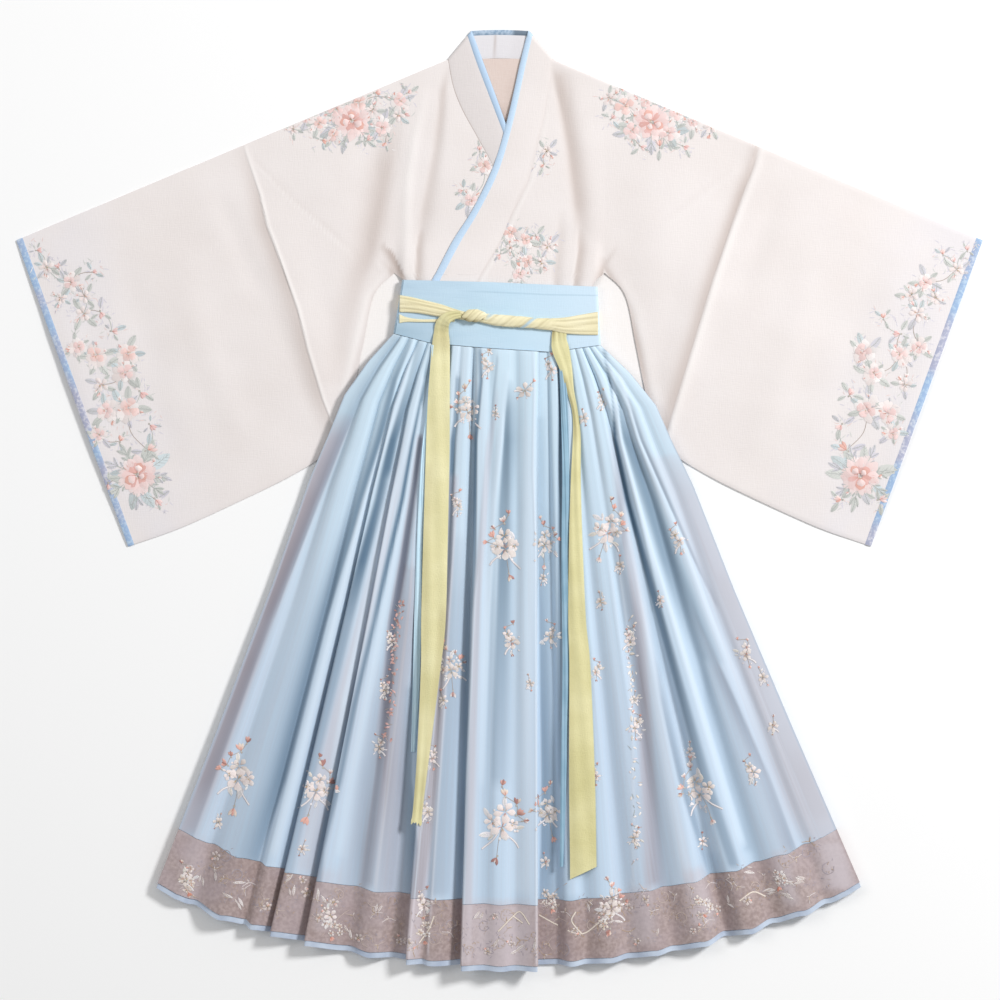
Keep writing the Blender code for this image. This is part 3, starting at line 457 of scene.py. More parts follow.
def skirt_front(down):
    """The front's middle line across one row: points from left to right, folds, and the painted shade of its
    valleys.
    """
    waist, hem, height = (np.array([getattr(fold, key) for fold in FOLDS], float)
                          for key in ("waist", "hem", "height"))
    x, y = place_on_skirt(waist, hem, down)
    rise = height * mix(FOLD_SHARE_AT_WAIST, 1, down ** 0.6)
    y = y - FOLD_DROP * rise * down
    z = front_height(x, down) + rise
    padded = np.concatenate([x[:1], x, x[-1:]])
    lead = (padded[2:] - padded[:-2]) / 2
    folds = np.linspace(0, LAST_FOLD, LAST_FOLD * STEPS_PER_FOLD + 1)
    start = np.minimum(folds.astype(int), LAST_FOLD - 1)
    share = folds - start
    ease = share * share * (3 - 2 * share)
    line_x = (mix(x[start], x[start + 1], ease) + lead[start] * share * (1 - share) ** 2
              + lead[start + 1] * share * share * (share - 1))
    # crests stay broad and valleys narrow
    rising = z[start + 1] > z[start]
    power = mix(2.4, 1.35, smooth(0.05, 0.5, down))
    narrow = np.where(rising, 1 - (1 - ease) ** power, ease ** power)
    line_z = mix(z[start], z[start + 1], narrow) + tuck_height(folds, down)
    low = np.where(rising, 1 - narrow, narrow)
    # painted shade in the valleys, darkest at their bottoms beside a high fold
    valley = low ** 2 * np.clip(abs(height[start + 1] - height[start]) / DEEP_FOLD, 0, 1)
    return np.stack([line_x, mix(y[start], y[start + 1], ease), line_z], axis=-1), folds, valley


SIDE_STEPS = 6
END_FADE = 12                   # length over which a stream runs out at its ends


def stream_values(streams, x, y, down):
    """Height, painted shade, veil and painted highlight that streams give at places in plan."""
    lift, dark, veil, pale = (np.zeros(np.broadcast(x, y).shape) for _ in range(4))
    for stream in streams:
        line = np.array(stream.line[::-1])
        strength = np.interp(y, line[:, 1], line[:, 2])
        strength = strength * smooth(line[0, 1] - END_FADE, line[0, 1], y)
        strength = strength * (1 - smooth(line[-1, 1], line[-1, 1] + END_FADE, y))
        aside = x - np.interp(y, line[:, 1], line[:, 0])
        near, far, power = (np.where(aside < 0, left, right)
                            for left, right in zip(stream.left, stream.right))
        profile = strength * np.exp(-(abs(aside) / mix(near, far, down)) ** power)
        lift += stream.height * profile
        veil += stream.veil * profile
        dark = np.maximum(dark, stream.dark * profile)
        pale = np.maximum(pale, stream.pale * profile)
    return lift, dark, veil, pale


def side_turn(waist, hem, down, front, inward):
    """Points where the wall turns over at a side, between its front and its back."""
    x, y = place_on_skirt(waist, hem, down)
    back = back_height(x, down)
    turn = np.radians([40, 90, 140])
    deep = (front - back) / 2
    return np.stack([x + inward * (0.15 * deep - 0.15 * deep * np.sin(turn)), np.full(3, y),
                     back + deep + deep * np.cos(turn)], axis=-1)


def side_strip(fold, turn):
    """Points of the front between its outermost fold line and the turn at that side."""
    share = np.linspace(0, 1, SIDE_STEPS + 2)[1:-1, None]
    strip = mix(fold, turn, share)
    strip[:, 2] = mix(fold[2], turn[2], share[:, 0] ** 1.7)
    return strip


def skirt_ring(down):
    """One section of the lining, front left to right and then back, with its folds and valleys."""
    front, folds, valley = skirt_front(down)
    right = side_turn(WAIST_RIGHT, HEM_RIGHT, down, front[-1][2], -1)
    left = side_turn(WAIST_LEFT, HEM_LEFT, down, front[0][2], 1)
    right = np.vstack([side_strip(front[-1], right[0]), right])
    left = np.vstack([side_strip(front[0], left[0]), left])
    share = np.linspace(0, 1, BACK_STEPS + 2)[1:-1]
    x, y = place_on_skirt(mix(WAIST_RIGHT, WAIST_LEFT, share), mix(HEM_RIGHT, HEM_LEFT, share), down)
    back = np.stack([x, y, back_height(x, down)], axis=-1)
    ring = np.vstack([front, right, back, left[::-1], front[:1]])
    places = np.concatenate([folds, np.full(len(right), LAST_FOLD),
                             np.linspace(LAST_FOLD, 0, BACK_STEPS), np.zeros(len(left) + 1)])
    return ring, places, np.pad(valley, (0, len(ring) - len(valley)))


def moved_out(ring, distance):
    """A closed section moved outward by a distance, square to itself in its own upright plane."""
    before = np.vstack([ring[-2], ring[:-1]])
    after = np.vstack([ring[1:], ring[1]])
    first, second = ring - before, after - ring
    first = first[:, [0, 2]] / np.maximum(1e-9, np.hypot(first[:, 0], first[:, 2]))[:, None]
    second = second[:, [0, 2]] / np.maximum(1e-9, np.hypot(second[:, 0], second[:, 2]))[:, None]
    normal = np.stack([-(first + second)[:, 1], (first + second)[:, 0]], axis=-1)
    reach = 2 * distance / np.maximum(0.9, (normal ** 2).sum(axis=1))
    moved = ring.copy()
    moved[:, 0] += normal[:, 0] * reach
    moved[:, 2] += normal[:, 1] * reach
    return moved


def skirt_sheet(name, top, foot, rows, distance, material, wall=SHELL):
    """A stretch of the skirt all round, from one share of the way down to another."""
    sections, folds_of, valleys, downs = [], [], [], []
    # from the waist, the rows start closer together
    for down in np.linspace(top, foot, rows) if top else np.linspace(0, 1, rows) ** 1.25 * foot:
        ring, folds, valley = skirt_ring(down)
        sections.append(moved_out(ring, distance))
        folds_of.append(folds)
        valleys.append(valley)
        downs.append(np.full(len(folds), down))
    points, folds, downs = np.stack(sections), np.stack(folds_of), np.stack(downs)
    index = np.arange(LAST_FOLD + 1)
    base = mix(np.interp(folds, index, [fold.veil_waist for fold in FOLDS]),
               np.interp(folds, index, [fold.veil_hem for fold in FOLDS]), smooth(0, 0.75, downs))
    place = (np.arange(points.shape[1]) + SIDE_STEPS + 1) % points.shape[1]
    is_front = (place <= LAST_FOLD * STEPS_PER_FOLD + 2 * SIDE_STEPS + 1)[None, :]
    lift, dark, veil, pale = stream_values(STREAMS, points[..., 0], points[..., 1], downs)
    floor = front_height(points[..., 0], downs) + distance
    raised = np.maximum(points[..., 2] + lift, np.minimum(points[..., 2], floor))
    points[..., 2] = np.where(is_front, raised, points[..., 2])
    # painted shade from the streams' dark lines and the valleys, cleared where a stream paints a highlight;
    # the back and sides get an even painted shade, and edge carries the painted highlight
    depth = np.maximum(dark, np.stack(valleys) * mix(0.35, 0.25, smooth(0.1, 0.7, downs)))
    depth = depth * (1 - pale)
    patch = Patches()
    patch.add(points, fold=folds, down=downs, veil=np.where(is_front, 0.3 * base + veil, 0.4),
              depth=np.where(is_front, depth, 0.2), edge=np.where(is_front, pale, 0))
    return patch.build(name, material, wall, weld=False, angle=75)


# ---- waistband and belt -------------------------------------------------------------------------
def waist_back(x):
    return back_height(x, 0) - LAYER / 2


WAIST_FRONT = float(front_height(WAIST_LEFT, 0)) + LAYER / 2 + 1
BELT_REST = WAIST_FRONT + WAISTBAND_WALL / 2 + CLEAR


BEND = 1.6                      # how far the waistband's sides round over
SHADE_LEFT, SHADE_WIDTH = -150, 296         # the stretch along which the band's painted light changes, darker at the left


def waistband(material):
    """The waistband: a doubled band, with a soft swell and small pulls between its edges."""
    rows, across, side, behind = 26, 120, 6, 30
    sections = []
    for share in np.linspace(0, 1, rows):
        left = mix(WAIST_TOP[0][0], WAIST_LEFT, share)
        right = mix(WAIST_TOP[-1][0], WAIST_RIGHT, share)
        front = np.linspace(left + BEND, right - BEND, across)
        turn = np.linspace(0, math.pi, side + 2)[1:-1]
        back = np.linspace(right - BEND, left + BEND, behind)
        low_right, low_left = waist_back(right), waist_back(left)
        x = np.concatenate([front, right - BEND + BEND * np.sin(turn), back,
                            left + BEND - BEND * np.sin(turn), front[:1]])
        swell = 0.5 * np.sin(math.pi * share) + 0.45 * ripple(front, share * 60, 3, 70)
        swell = swell * smooth(0, 0.1, share) * (1 - smooth(0.92, 1, share))
        z = np.concatenate([
            WAIST_FRONT + swell,
            low_right + (WAIST_FRONT - low_right) * (0.5 + 0.5 * np.cos(turn)),
            waist_back(back),
            low_left + (WAIST_FRONT - low_left) * (0.5 - 0.5 * np.cos(turn)),
            (WAIST_FRONT + swell)[:1]])
        y = mix(along(WAIST_TOP, x), along(WAIST_SEAM, x) + SEAM, share)
        sections.append(np.stack([x, y, z], axis=-1))
    points = np.stack(sections)
    patch = Patches()
    patch.add(points, down=np.linspace(0, 1, rows)[:, None],
              # away carries the band's painted light from left to right
              away=np.clip((points[..., 0] - SHADE_LEFT) / SHADE_WIDTH, 0, 1))
    return patch.build("waistband_cloth", material, WAISTBAND_WALL, weld=False)


def loft(name, sections, material, closed=False, values=None):
    """A solid through cross-sections, capped at its ends unless it runs round into itself."""
    sections = np.asarray(sections, float)
    count, sides = sections.shape[:2]
    ring = np.arange(sides)
    faces = []
    for row in range(count - 1 + closed):
        here, after = row * sides, (row + 1) % count * sides
        faces += np.stack([here + ring, after + ring, after + (ring + 1) % sides,
                           here + (ring + 1) % sides], axis=-1).tolist()
    if not closed:
        last = (count - 1) * sides
        faces += [ring.tolist(), (last + ring[::-1]).tolist()]
    thing = add_object(name, sections.reshape(-1, 3), faces, material, values)
    face_outward(thing.data)
    return thing


def oval(x, y, z, width, depth, sides, lobes=1.0):
    """Points round a section across the belt, from its upper edge over its front."""
    turn = np.linspace(0, 2 * math.pi, sides, endpoint=False)
    return grid(x, y + width / 2 * np.cos(turn) * lobes, z + depth / 2 * np.sin(turn) * lobes)


TWIST_PITCH = 25                # distance from one groove of the twisted part to the next
BLUE_STRIPS = ((-21, 0.55), (43, 0.42))
KNOT_PLACE, KNOT_LENGTH, KNOT_WIDTH, KNOT_THICK = (-37, 269), 32, 19, 10
KNOT_ROWS, KNOT_SIDES, STRAND_SIDES = 64, 56, 28
WRAP_STATIONS, WRAP_SIDES = 260, 48
TWIST_START, TWIST_END = (-24, -12), (68, 92)   # where along the belt its twist sets in and runs out


def belt_wrap(material):
    """The belt round the waist: creased at its ends, twisted with the blue tie right of the knot."""
    turn = np.linspace(0, 2 * math.pi, WRAP_SIDES, endpoint=False)
    front = np.maximum(0, np.sin(turn))
    places = np.linspace(BELT_ROUTE[0].x, BELT_ROUTE[-1].x, WRAP_STATIONS)
    line = flowing(BELT_ROUTE, 24)
    sections, blue, depth = [], [], []
    for x, y, width, thick in np.column_stack([places] + [
            np.interp(places, line[:, 0], line[:, column]) for column in (1, 2, 3)]):
        twisted = smooth(*TWIST_START, x) * (1 - smooth(*TWIST_END, x))
        phase = turn + math.pi * x / TWIST_PITCH
        groove = np.exp(-(np.sin(phase) / 0.22) ** 2)
        fan = np.sin(turn * 9 + 0.02 * x) + 0.6 * np.sin(turn * 14 - 0.035 * x + 1)
        lobes = 1 - 0.09 * groove * twisted + 0.03 * np.sin(turn * 7 + x * 0.19) * twisted
        section = oval(x, y, BELT_REST + thick / 2, width, thick, WRAP_SIDES, lobes)
        section[:, 2] += 0.34 * fan * (1 - twisted) * front
        sections.append(section)
        strips = [np.exp(-((phase - math.pi / 2 - math.pi * place / TWIST_PITCH) / reach) ** 4)
                  for place, reach in BLUE_STRIPS]
        blue.append(np.max(strips, axis=0) * twisted)
        fine = np.clip(np.sin(phase * 5 + 0.4 * np.sin(x * 0.11)), 0, 1) * twisted
        # painted shade in the twist's grooves, its fine creases and the creases of the ends
        depth.append(0.3 * groove * twisted + 0.12 * fine + 0.3 * np.clip(-fan, 0, 1) * (1 - twisted))
    end = len(sections)
    for strand in BELT_BACK:
        z = waist_back(strand.x) - WAISTBAND_WALL / 2 - CLEAR - WALL / 2
        section = oval(strand.x, strand.y, z, strand.width, strand.depth, WRAP_SIDES)
        section[:, 2] = 2 * z - section[:, 2]
        sections.append(section)
    for place, strand, outward in ((end, BELT_ROUTE[-1], 1), (len(sections) + 1, BELT_ROUTE[0], -1)):
        y = strand.y + strand.width / 2 * np.cos(turn)
        edge = np.interp(y, *zip(*((row[1], row[0]) for row in BELT_EDGES[outward])))
        sections.insert(place, grid(edge + outward * (1 + WALL / 2 * np.sin(turn)), y, BELT_REST / 2))
    rest = np.zeros((len(sections) - end, WRAP_SIDES))
    return loft("belt_wrap_cloth", sections, material, closed=True,
                values={"blue": np.vstack(blue + [rest]).ravel(), "depth": np.vstack(depth + [rest]).ravel()})


def second_strand(material):
    """The thin second strand left of the knot, with waistband showing above it."""
    line = flowing(SECOND_ROUTE, 20)
    turn = np.linspace(0, 2 * math.pi, STRAND_SIDES, endpoint=False)
    sections = []
    for x, y, width, depth in line:
        section = oval(x, y, BELT_REST + depth / 2, width, depth, STRAND_SIDES)
        section[:, 2] += 0.2 * np.sin(turn * 6 + 0.05 * x) * np.maximum(0, np.sin(turn))
        sections.append(section)
    return loft("belt_second_strand_cloth", sections, material)


def knot(material):
    """The knot: the belt's end wrapped once across it, its turns pulled on the slant."""
    turn = np.linspace(0, 2 * math.pi, KNOT_SIDES, endpoint=False)
    sections, depth = [], []
    for share in np.linspace(0, 1, KNOT_ROWS):
        along_it = (share - 0.5) * KNOT_LENGTH
        swell = 0.42 + 0.58 * math.sin(math.pi * min(1, share * 1.06)) ** 0.55
        groove = np.exp(-(np.sin(share * 8.2 + turn * 0.9 - 0.6) / 0.3) ** 2)
        wrinkle = np.sin(turn * 3 + share * 15)
        section = oval(KNOT_PLACE[0] + along_it, KNOT_PLACE[1] - 0.12 * along_it,
                       BELT_REST + 2.5 + KNOT_THICK * 0.5, KNOT_WIDTH * swell, KNOT_THICK * swell,
                       KNOT_SIDES, 1 - 0.10 * groove + 0.04 * wrinkle)
        section[:, 0] += 3.5 * np.cos(turn)
        sections.append(section)
        # painted shade in the grooves and wrinkles and on its underside
        depth.append(0.35 * groove + 0.2 * np.clip(-wrinkle, 0, 1) + 0.5 * smooth(0.4, 1, -np.cos(turn)))
    return loft("belt_knot_cloth", sections, material,
                values={"blue": np.zeros(KNOT_ROWS * KNOT_SIDES), "depth": np.clip(np.ravel(depth), 0, 1)})


# ---- top ----------------------------------------------------------------------------------------
TOP_ROWS = 84
BACK_ROWS = 26
SLEEVE_ROWS = 76
TUCK_ROWS = 34
BODY_COLUMNS = 56
NEAR_BODY, NEAR_SEAM = 46, 14   # columns of the upper sleeve: up to its seam, and close along it
SEAM_STATIONS = 11              # of a sleeve end's stations, those that lie close along that seam
COLLAR_STEPS = 9                # from each of the collar's stations to the next
NECK_STEPS = 15                 # from the middle of the back to the side of the neck
WALL_TURN = np.radians((45, 90, 135))       # where a folded edge has its rows between back and front
RISE_RUN = 62                   # length over which the top climbs towards the waistband
SEEN_UNDER_Y = 500              # below this the under collar lies hidden
BACK_SEAM_LOW_Y = 647
NECK_HALF = 26                  # half the width of the neck's inside, as its shade runs
TOP_FALL = 515                  # from the neck down to where a stream has its lower reach
# how much stronger the top's painted shade is than its streams give; the streams below paint shade in the
# top's troughs and folds and highlight on its ridges
TOP_DARK = 1.35
TOP_STREAMS = (
    Stream(((80, 634, 0.2), (85, 622, 0.8), (89, 601, 1), (105, 513, 1), (115, 432, 0.9),
            (120, 381, 0.2)), (7.3, 10.3, 2), (16.2, 16.2, 2), -2, 0.34, 0, 0),
    Stream(((118, 417, 0.2), (118, 366, 0.95), (111, 313, 1)),
           (3.2, 3.2, 3), (13.2, 7.3, 2), -1.4, 0.34, 0, 0),
    Stream(((90, 417, 0.2), (89, 388, 0.7), (83, 334, 1), (83, 313, 1)),
           (5.9, 5.1, 2), (8.8, 8.8, 2), -1.1, 0.18, 0, 0),
    Stream(((-76, 631, 0.2), (-82, 601, 0.9), (-93, 513, 0.8), (-110, 425, 0.8), (-118, 381, 0.3)),
           (6.6, 7.3, 2), (2.2, 27.9, 2), -1.5, 0.25, 0, 0),
    Stream(((-114, 407, 0.2), (-117, 388, 0.8), (-120, 366, 1), (-121, 316, 1)),
           (3.2, 3.2, 3), (8.8, 7.3, 2), -1.4, 0.32, 0, 0),
    Stream(((-149, 579, 0.1), (-165, 491, 1), (-189, 369, 1), (-209, 319, 0.7), (-221, 278, 0.5),
            (-243, 175, 0.2)), (26.5, 20.6, 2), (13.2, 11.8, 2), -1.5, 0.27, 0, 0),
    Stream(((-111, 594, 0.3), (-126, 528, 0.8), (-135, 469, 1), (-137, 417, 1), (-136, 366, 0.9),
            (-135, 334, 0.4)), (7.3, 8.8, 2), (8.8, 7.3, 2), 1.3, 0, 0, 0.35),
    Stream(((-170, 372, 0.4), (-159, 363, 0.9), (-145, 334, 1), (-139, 316, 1)),
           (13.2, 8.8, 2), (2.2, 2.9, 4), -1.2, 0.5, 0, 0),
    Stream(((-167, 348, 0.3), (-159, 337, 1), (-149, 316, 0.8)),
           (7.3, 7.3, 2), (7.3, 7.3, 2), 0, 0.35, 0, 0),
    Stream(((-182, 348, 0.2), (-174, 340, 0.7), (-167, 337, 0.5)),
           (4.4, 4.4, 2), (2.9, 2.9, 2), 0.6, 0, 0, 0.4),
    Stream(((155, 348, 0.5), (151, 332, 1), (145, 313, 1)),
           (5.9, 8.8, 2), (2.2, 2.9, 4), -1, 0.4, 0, 0),
    Stream(((173, 372, 0.1), (155, 345, 0.9)), (2.9, 3.7, 2), (2.9, 3.7, 2), -0.8, 0.3, 0, 0),
    Stream(((154, 341, 0.6), (176, 304, 1), (186, 281, 1), (202, 226, 0.9), (221, 131, 0.7)),
           (1.9, 1.9, 4), (8.8, 7.3, 2), -0.6, 0.42, 0, 0),
    Stream(((183, 315, 0.3), (202, 278, 0.6), (229, 146, 0.4)),
           (5.9, 5.9, 2), (8.8, 10.3, 2), 0.6, 0, 0, 0.3),
    Stream(((-157, 332, 0.3), (-184, 301, 0.5), (-223, 144, 0.5), (-249, 87, 0.4)),
           (4.4, 4.4, 2), (2.2, 2.2, 4), 0, 0.2, 0, 0),
    Stream(((-167, 337, 0.3), (-196, 298, 0.6), (-234, 144, 0.6), (-258, 87, 0.4)),
           (5.9, 5.9, 2), (4.4, 4.4, 2), 0.9, 0, 0, 0.5),
    Stream(((-377, 513, 0.3), (-355, 447, 0.8), (-345, 403, 1), (-314, 322, 1), (-299, 278, 0.9),
            (-284, 219, 0.9), (-262, 146, 0.8), (-243, 98, 0.6)),
           (13.2, 19.1, 2), (1.9, 1.9, 4), -0.8, 0.26, 0, 0),
    Stream(((-374, 513, 0.5), (-351, 447, 0.8), (-341, 403, 0.9), (-320, 348, 1), (-295, 278, 0.9),
            (-281, 219, 0.9), (-259, 146, 0.8), (-240, 98, 0.6)),
           (2.2, 2.2, 4), (3.2, 3.2, 2), 0.8, 0, 0, 0.5),
    Stream(((380, 519, 0.5), (374, 491, 0.7), (356, 447, 1), (312, 322, 0.9), (242, 90, 0.8)),
           (11.8, 14.7, 2), (1.8, 1.8, 4), -1.1, 0.36, 0, 0),
    Stream(((386, 519, 0.5), (380, 491, 0.7), (346, 403, 0.9), (318, 322, 0.9), (248, 90, 0.8)),
           (2.2, 2.2, 4), (7.3, 7.3, 2), 0.8, 0, 0, 0.45),
    Stream(((-365, 498, 0.2), (-309, 441, 0.6), (-251, 390, 0.8), (-217, 357, 0.2)),
           (2.9, 2.9, 2), (2.2, 2.2, 2), 0.4, 0, 0, 0.45),
    Stream(((-361, 498, 0.3), (-305, 441, 0.6), (-246, 390, 0.8), (-212, 357, 0.2)),
           (2.2, 2.2, 2), (7.3, 7.3, 2), -0.5, 0.1, 0, 0),
    Stream(((346, 481, 0.2), (302, 447, 0.5), (243, 400, 0.2)),
           (2.9, 2.9, 2), (7.3, 7.3, 2), 0.6, 0, 0, 0.25),
    Stream(((342, 484, 0.2), (296, 450, 0.5), (237, 403, 0.2)),
           (7.3, 7.3, 2), (2.2, 2.2, 2), -0.6, 0.08, 0, 0),
    Stream(((76, 631, 0.1), (65, 564, 0.2), (42, 469, 0.4), (18, 420, 0.5), (2, 381, 0.5),
            (-32, 322, 0.5)), (1.8, 1.8, 2), (1.8, 1.8, 2), -0.4, 0.22, 0, 0),
    Stream(((71, 564, 0.2), (48, 469, 0.5), (24, 420, 0.6), (8, 381, 0.6), (-26, 322, 0.6)),
           (1.8, 1.8, 2), (2.9, 2.9, 2), 0.4, 0, 0, 0.5),
)

# soft ridges (height above 0) and troughs (below 0) of the top, from one end to the other
Crease = namedtuple("Crease", "x1 y1 x2 y2 half height bow")
CREASES = (
    Crease(-470, 348, -373, 78, 26, 1.5, 8),
    Crease(-558, 366, -484, 28, 24, -1.2, -8),
    Crease(-646, 293, -558, -1, 18, 1.2, 4),
    Crease(-417, 454, -349, 293, 16, -1.2, 0),
    Crease(464, 348, 371, 78, 26, 1.5, -8),
    Crease(559, 366, 489, 28, 24, -1.2, 8),
    Crease(648, 293, 565, -1, 18, 1.2, -4),
    Crease(412, 454, 351, 293, 16, -1.2, 0),
)


def relief(x, y):
    """Height of the top's creases at places in plan."""
    total = 0.55 * ripple(x, y, 11, 170) + 0.22 * ripple(x, y, 12, 62)
    for crease in CREASES:
        run_x, run_y = crease.x2 - crease.x1, crease.y2 - crease.y1
        length = math.hypot(run_x, run_y)
        share = ((x - crease.x1) * run_x + (y - crease.y1) * run_y) / length ** 2
        aside = ((x - crease.x1) * run_y - (y - crease.y1) * run_x) / length
        aside = aside - crease.bow * 4 * share * (1 - share)
        fade = smooth(-0.12, 0.25, share) * (1 - smooth(0.75, 1.12, share))
        total = total + crease.height * fade * np.exp(-(aside / crease.half) ** 2)
    return total + top_values(x, y)[0]


def top_values(x, y):
    """Height, painted shade, veil and painted highlight of the top's folds at places in plan."""
    height, dark, veil, pale = stream_values(TOP_STREAMS, x, y, np.clip((NECK_Y - y) / TOP_FALL, 0, 1))
    return height, np.minimum(1, TOP_DARK * dark), veil, pale


def shoulder_y(x):
    return mix(NECK_Y, CUFF_Y, (abs(x) - NECK_X) / (CUFF_X - NECK_X))


def body_height(x, y, level):
    """Middle height of a layer of the top, flat above the waist and then inside the waistband."""
    inside = back_height(x, 0) + LAYER
    rise = smooth(-ARMPIT_Y - RISE_RUN, -TUCK_START, -y) * (1 - smooth(TUCK_X + 8, ARMPIT_X, abs(x)))
    height = mix(GROUND, inside, rise) + level * LAYER
    up = np.clip((y - ARMPIT_Y) / (NECK_Y - 40 - ARMPIT_Y), 0, 1)
    across = np.maximum(0.0, 1 - (x / ARMPIT_X) ** 2)
    return height + (BODY_PUFF * np.sin(math.pi * up) * across if np.any(level) else 0)


def creased(x, y, z, level):
    """A layer's height with its creases: a front never sinks into what lies below it."""
    if not level:
        return z + 0.6 * np.maximum(0, relief(x, y))
    return np.maximum(z + relief(x, y), GROUND + level * 0.95 + 0.6 * np.maximum(0, relief(x, y)))


def sleeve_puff(down):
    return SLEEVE_PUFF * np.sin(math.pi * down)


def sleeve_ridge(down):
    return SLEEVE_RIDGE * smooth(0.1, 0.6, down) * (1 - smooth(0.8, 1, down))


def body_half(side, name, material):
    """One half of the top: front, back and upper sleeve in one, folded over the shoulder."""
    level, stations = (1, UNDER_COLLAR) if side < 0 else (2, OVER_COLLAR)
    seam = flowing([station[2:] for station in stations], 12)[::-1]
    down = np.linspace(0, 1, TOP_ROWS)[:, None]
    back_down = np.linspace(0, 1, BACK_ROWS)[:, None]
    across = np.linspace(0, 1, BODY_COLUMNS)[None, :]
    out = np.concatenate([np.linspace(0, 0.9, NEAR_BODY), np.linspace(0.91, 1, NEAR_SEAM)])[None, :]
    patches = Patches()

    def seam_x(y):
        return np.interp(y, seam[:, 1], seam[:, 0])

    def add(x, y, z, layer, inner=0.0):
        points = grid(x, y, creased(x, y, z, layer))
        values = top_values(points[..., 0], points[..., 1])
        if inner:           # seen in the neck: painted shade, darker towards the collar at the right and the V's tip
            depth = 0.35 * smooth(2, 30, x) * smooth(-640, -585, -y) + 0.35 * smooth(-590, -555, -y)
            patches.add(points, inner=inner, depth=depth, edge=0.0)
        elif layer:
            # painted shade in the troughs and painted highlight on the ridges, from the streams
            patches.add(points, inner=0.0, depth=values[1], edge=values[3])
        else:
            # painted light on the back layer, lifting the shade that falls where it lies below the fronts
            patches.add(points, inner=0.0, depth=0.0, edge=0.7)
        return points

    inner_y = mix(NECK_Y, ARMPIT_Y, down)
    x = mix(seam_x(inner_y), side * ARMPIT_X, across)
    y = mix(inner_y, mix(shoulder_y(ARMPIT_X), ARMPIT_Y, down), across)
    front = add(x, y, body_height(x, y, level), level)
    back_tops = np.concatenate([np.linspace(0, NECK_X, NECK_STEPS + 1)[:-1],
                                mix(NECK_X, ARMPIT_X, across[0])])
    x = side * back_tops[None, :] + 0 * back_down
    y = mix(np.minimum(NECK_Y + 2.6, shoulder_y(back_tops))[None, :], ARMPIT_Y, back_down)
    back = add(x, y, body_height(x, y, 0), 0, 1.0)

    tuck_y = np.linspace(ARMPIT_Y, TUCK_Y, TUCK_ROWS)[:, None]
    tuck_side = side * np.interp(tuck_y, (296, 322, ARMPIT_Y), (TUCK_X, 141, ARMPIT_X))
    tuck_inner = np.where(tuck_y < stations[-1][3], stations[-1][2], seam_x(tuck_y))
    x = mix(tuck_inner, tuck_side, across)
    add(x, tuck_y + 0 * x, body_height(x, tuck_y, level), level)
    x = mix(0, tuck_side, np.linspace(0, 1, len(back_tops))[None, :])
    x = np.where(tuck_y > ARMPIT_Y - 0.5, side * back_tops[None, :], x)
    add(x, tuck_y + 0 * x, body_height(x, tuck_y, 0), 0, 1.0)

    tops = mix(ARMPIT_X, SLEEVE_SEAM_X, out)
    sleeves = []
    for layer, underarm, fall in ((level, FRONT_UNDERARM, down), (0, BACK_UNDERARM, back_down)):
        foot = flowing(underarm, 20)
        places = np.linspace(0, 1, len(foot))
        foot_x, foot_y = (np.interp(out, places, foot[:, column]) for column in (0, 1))
        x, y = side * mix(tops, foot_x, fall), mix(shoulder_y(tops), foot_y, fall)
        z = GROUND + mix(layer, min(layer, 1), smooth(0, 1, out)) * LAYER + 0 * fall
        if layer:
            z = z + sleeve_puff(fall) * smooth(0, 0.6, out) + sleeve_ridge(fall) * smooth(0.7, 1, out)
        sleeves.append(add(x, y, z, layer))
    front_edge = np.vstack([front[0], sleeves[0][0][1:]])
    back_edge = np.vstack([back[0][NECK_STEPS:], sleeves[1][0][1:]])
    rows = [back_edge]
    for angle in WALL_TURN:
        row = mix(back_edge, front_edge, 0.5 - 0.5 * math.cos(angle))
        row[:, 1] += 0.5 * (front_edge[:, 2] - back_edge[:, 2]) * math.sin(angle)
        rows.append(row)
    patches.add(np.stack(rows + [front_edge]), inner=0.0, depth=0.0, edge=0.0)
    return patches.build(name, material)


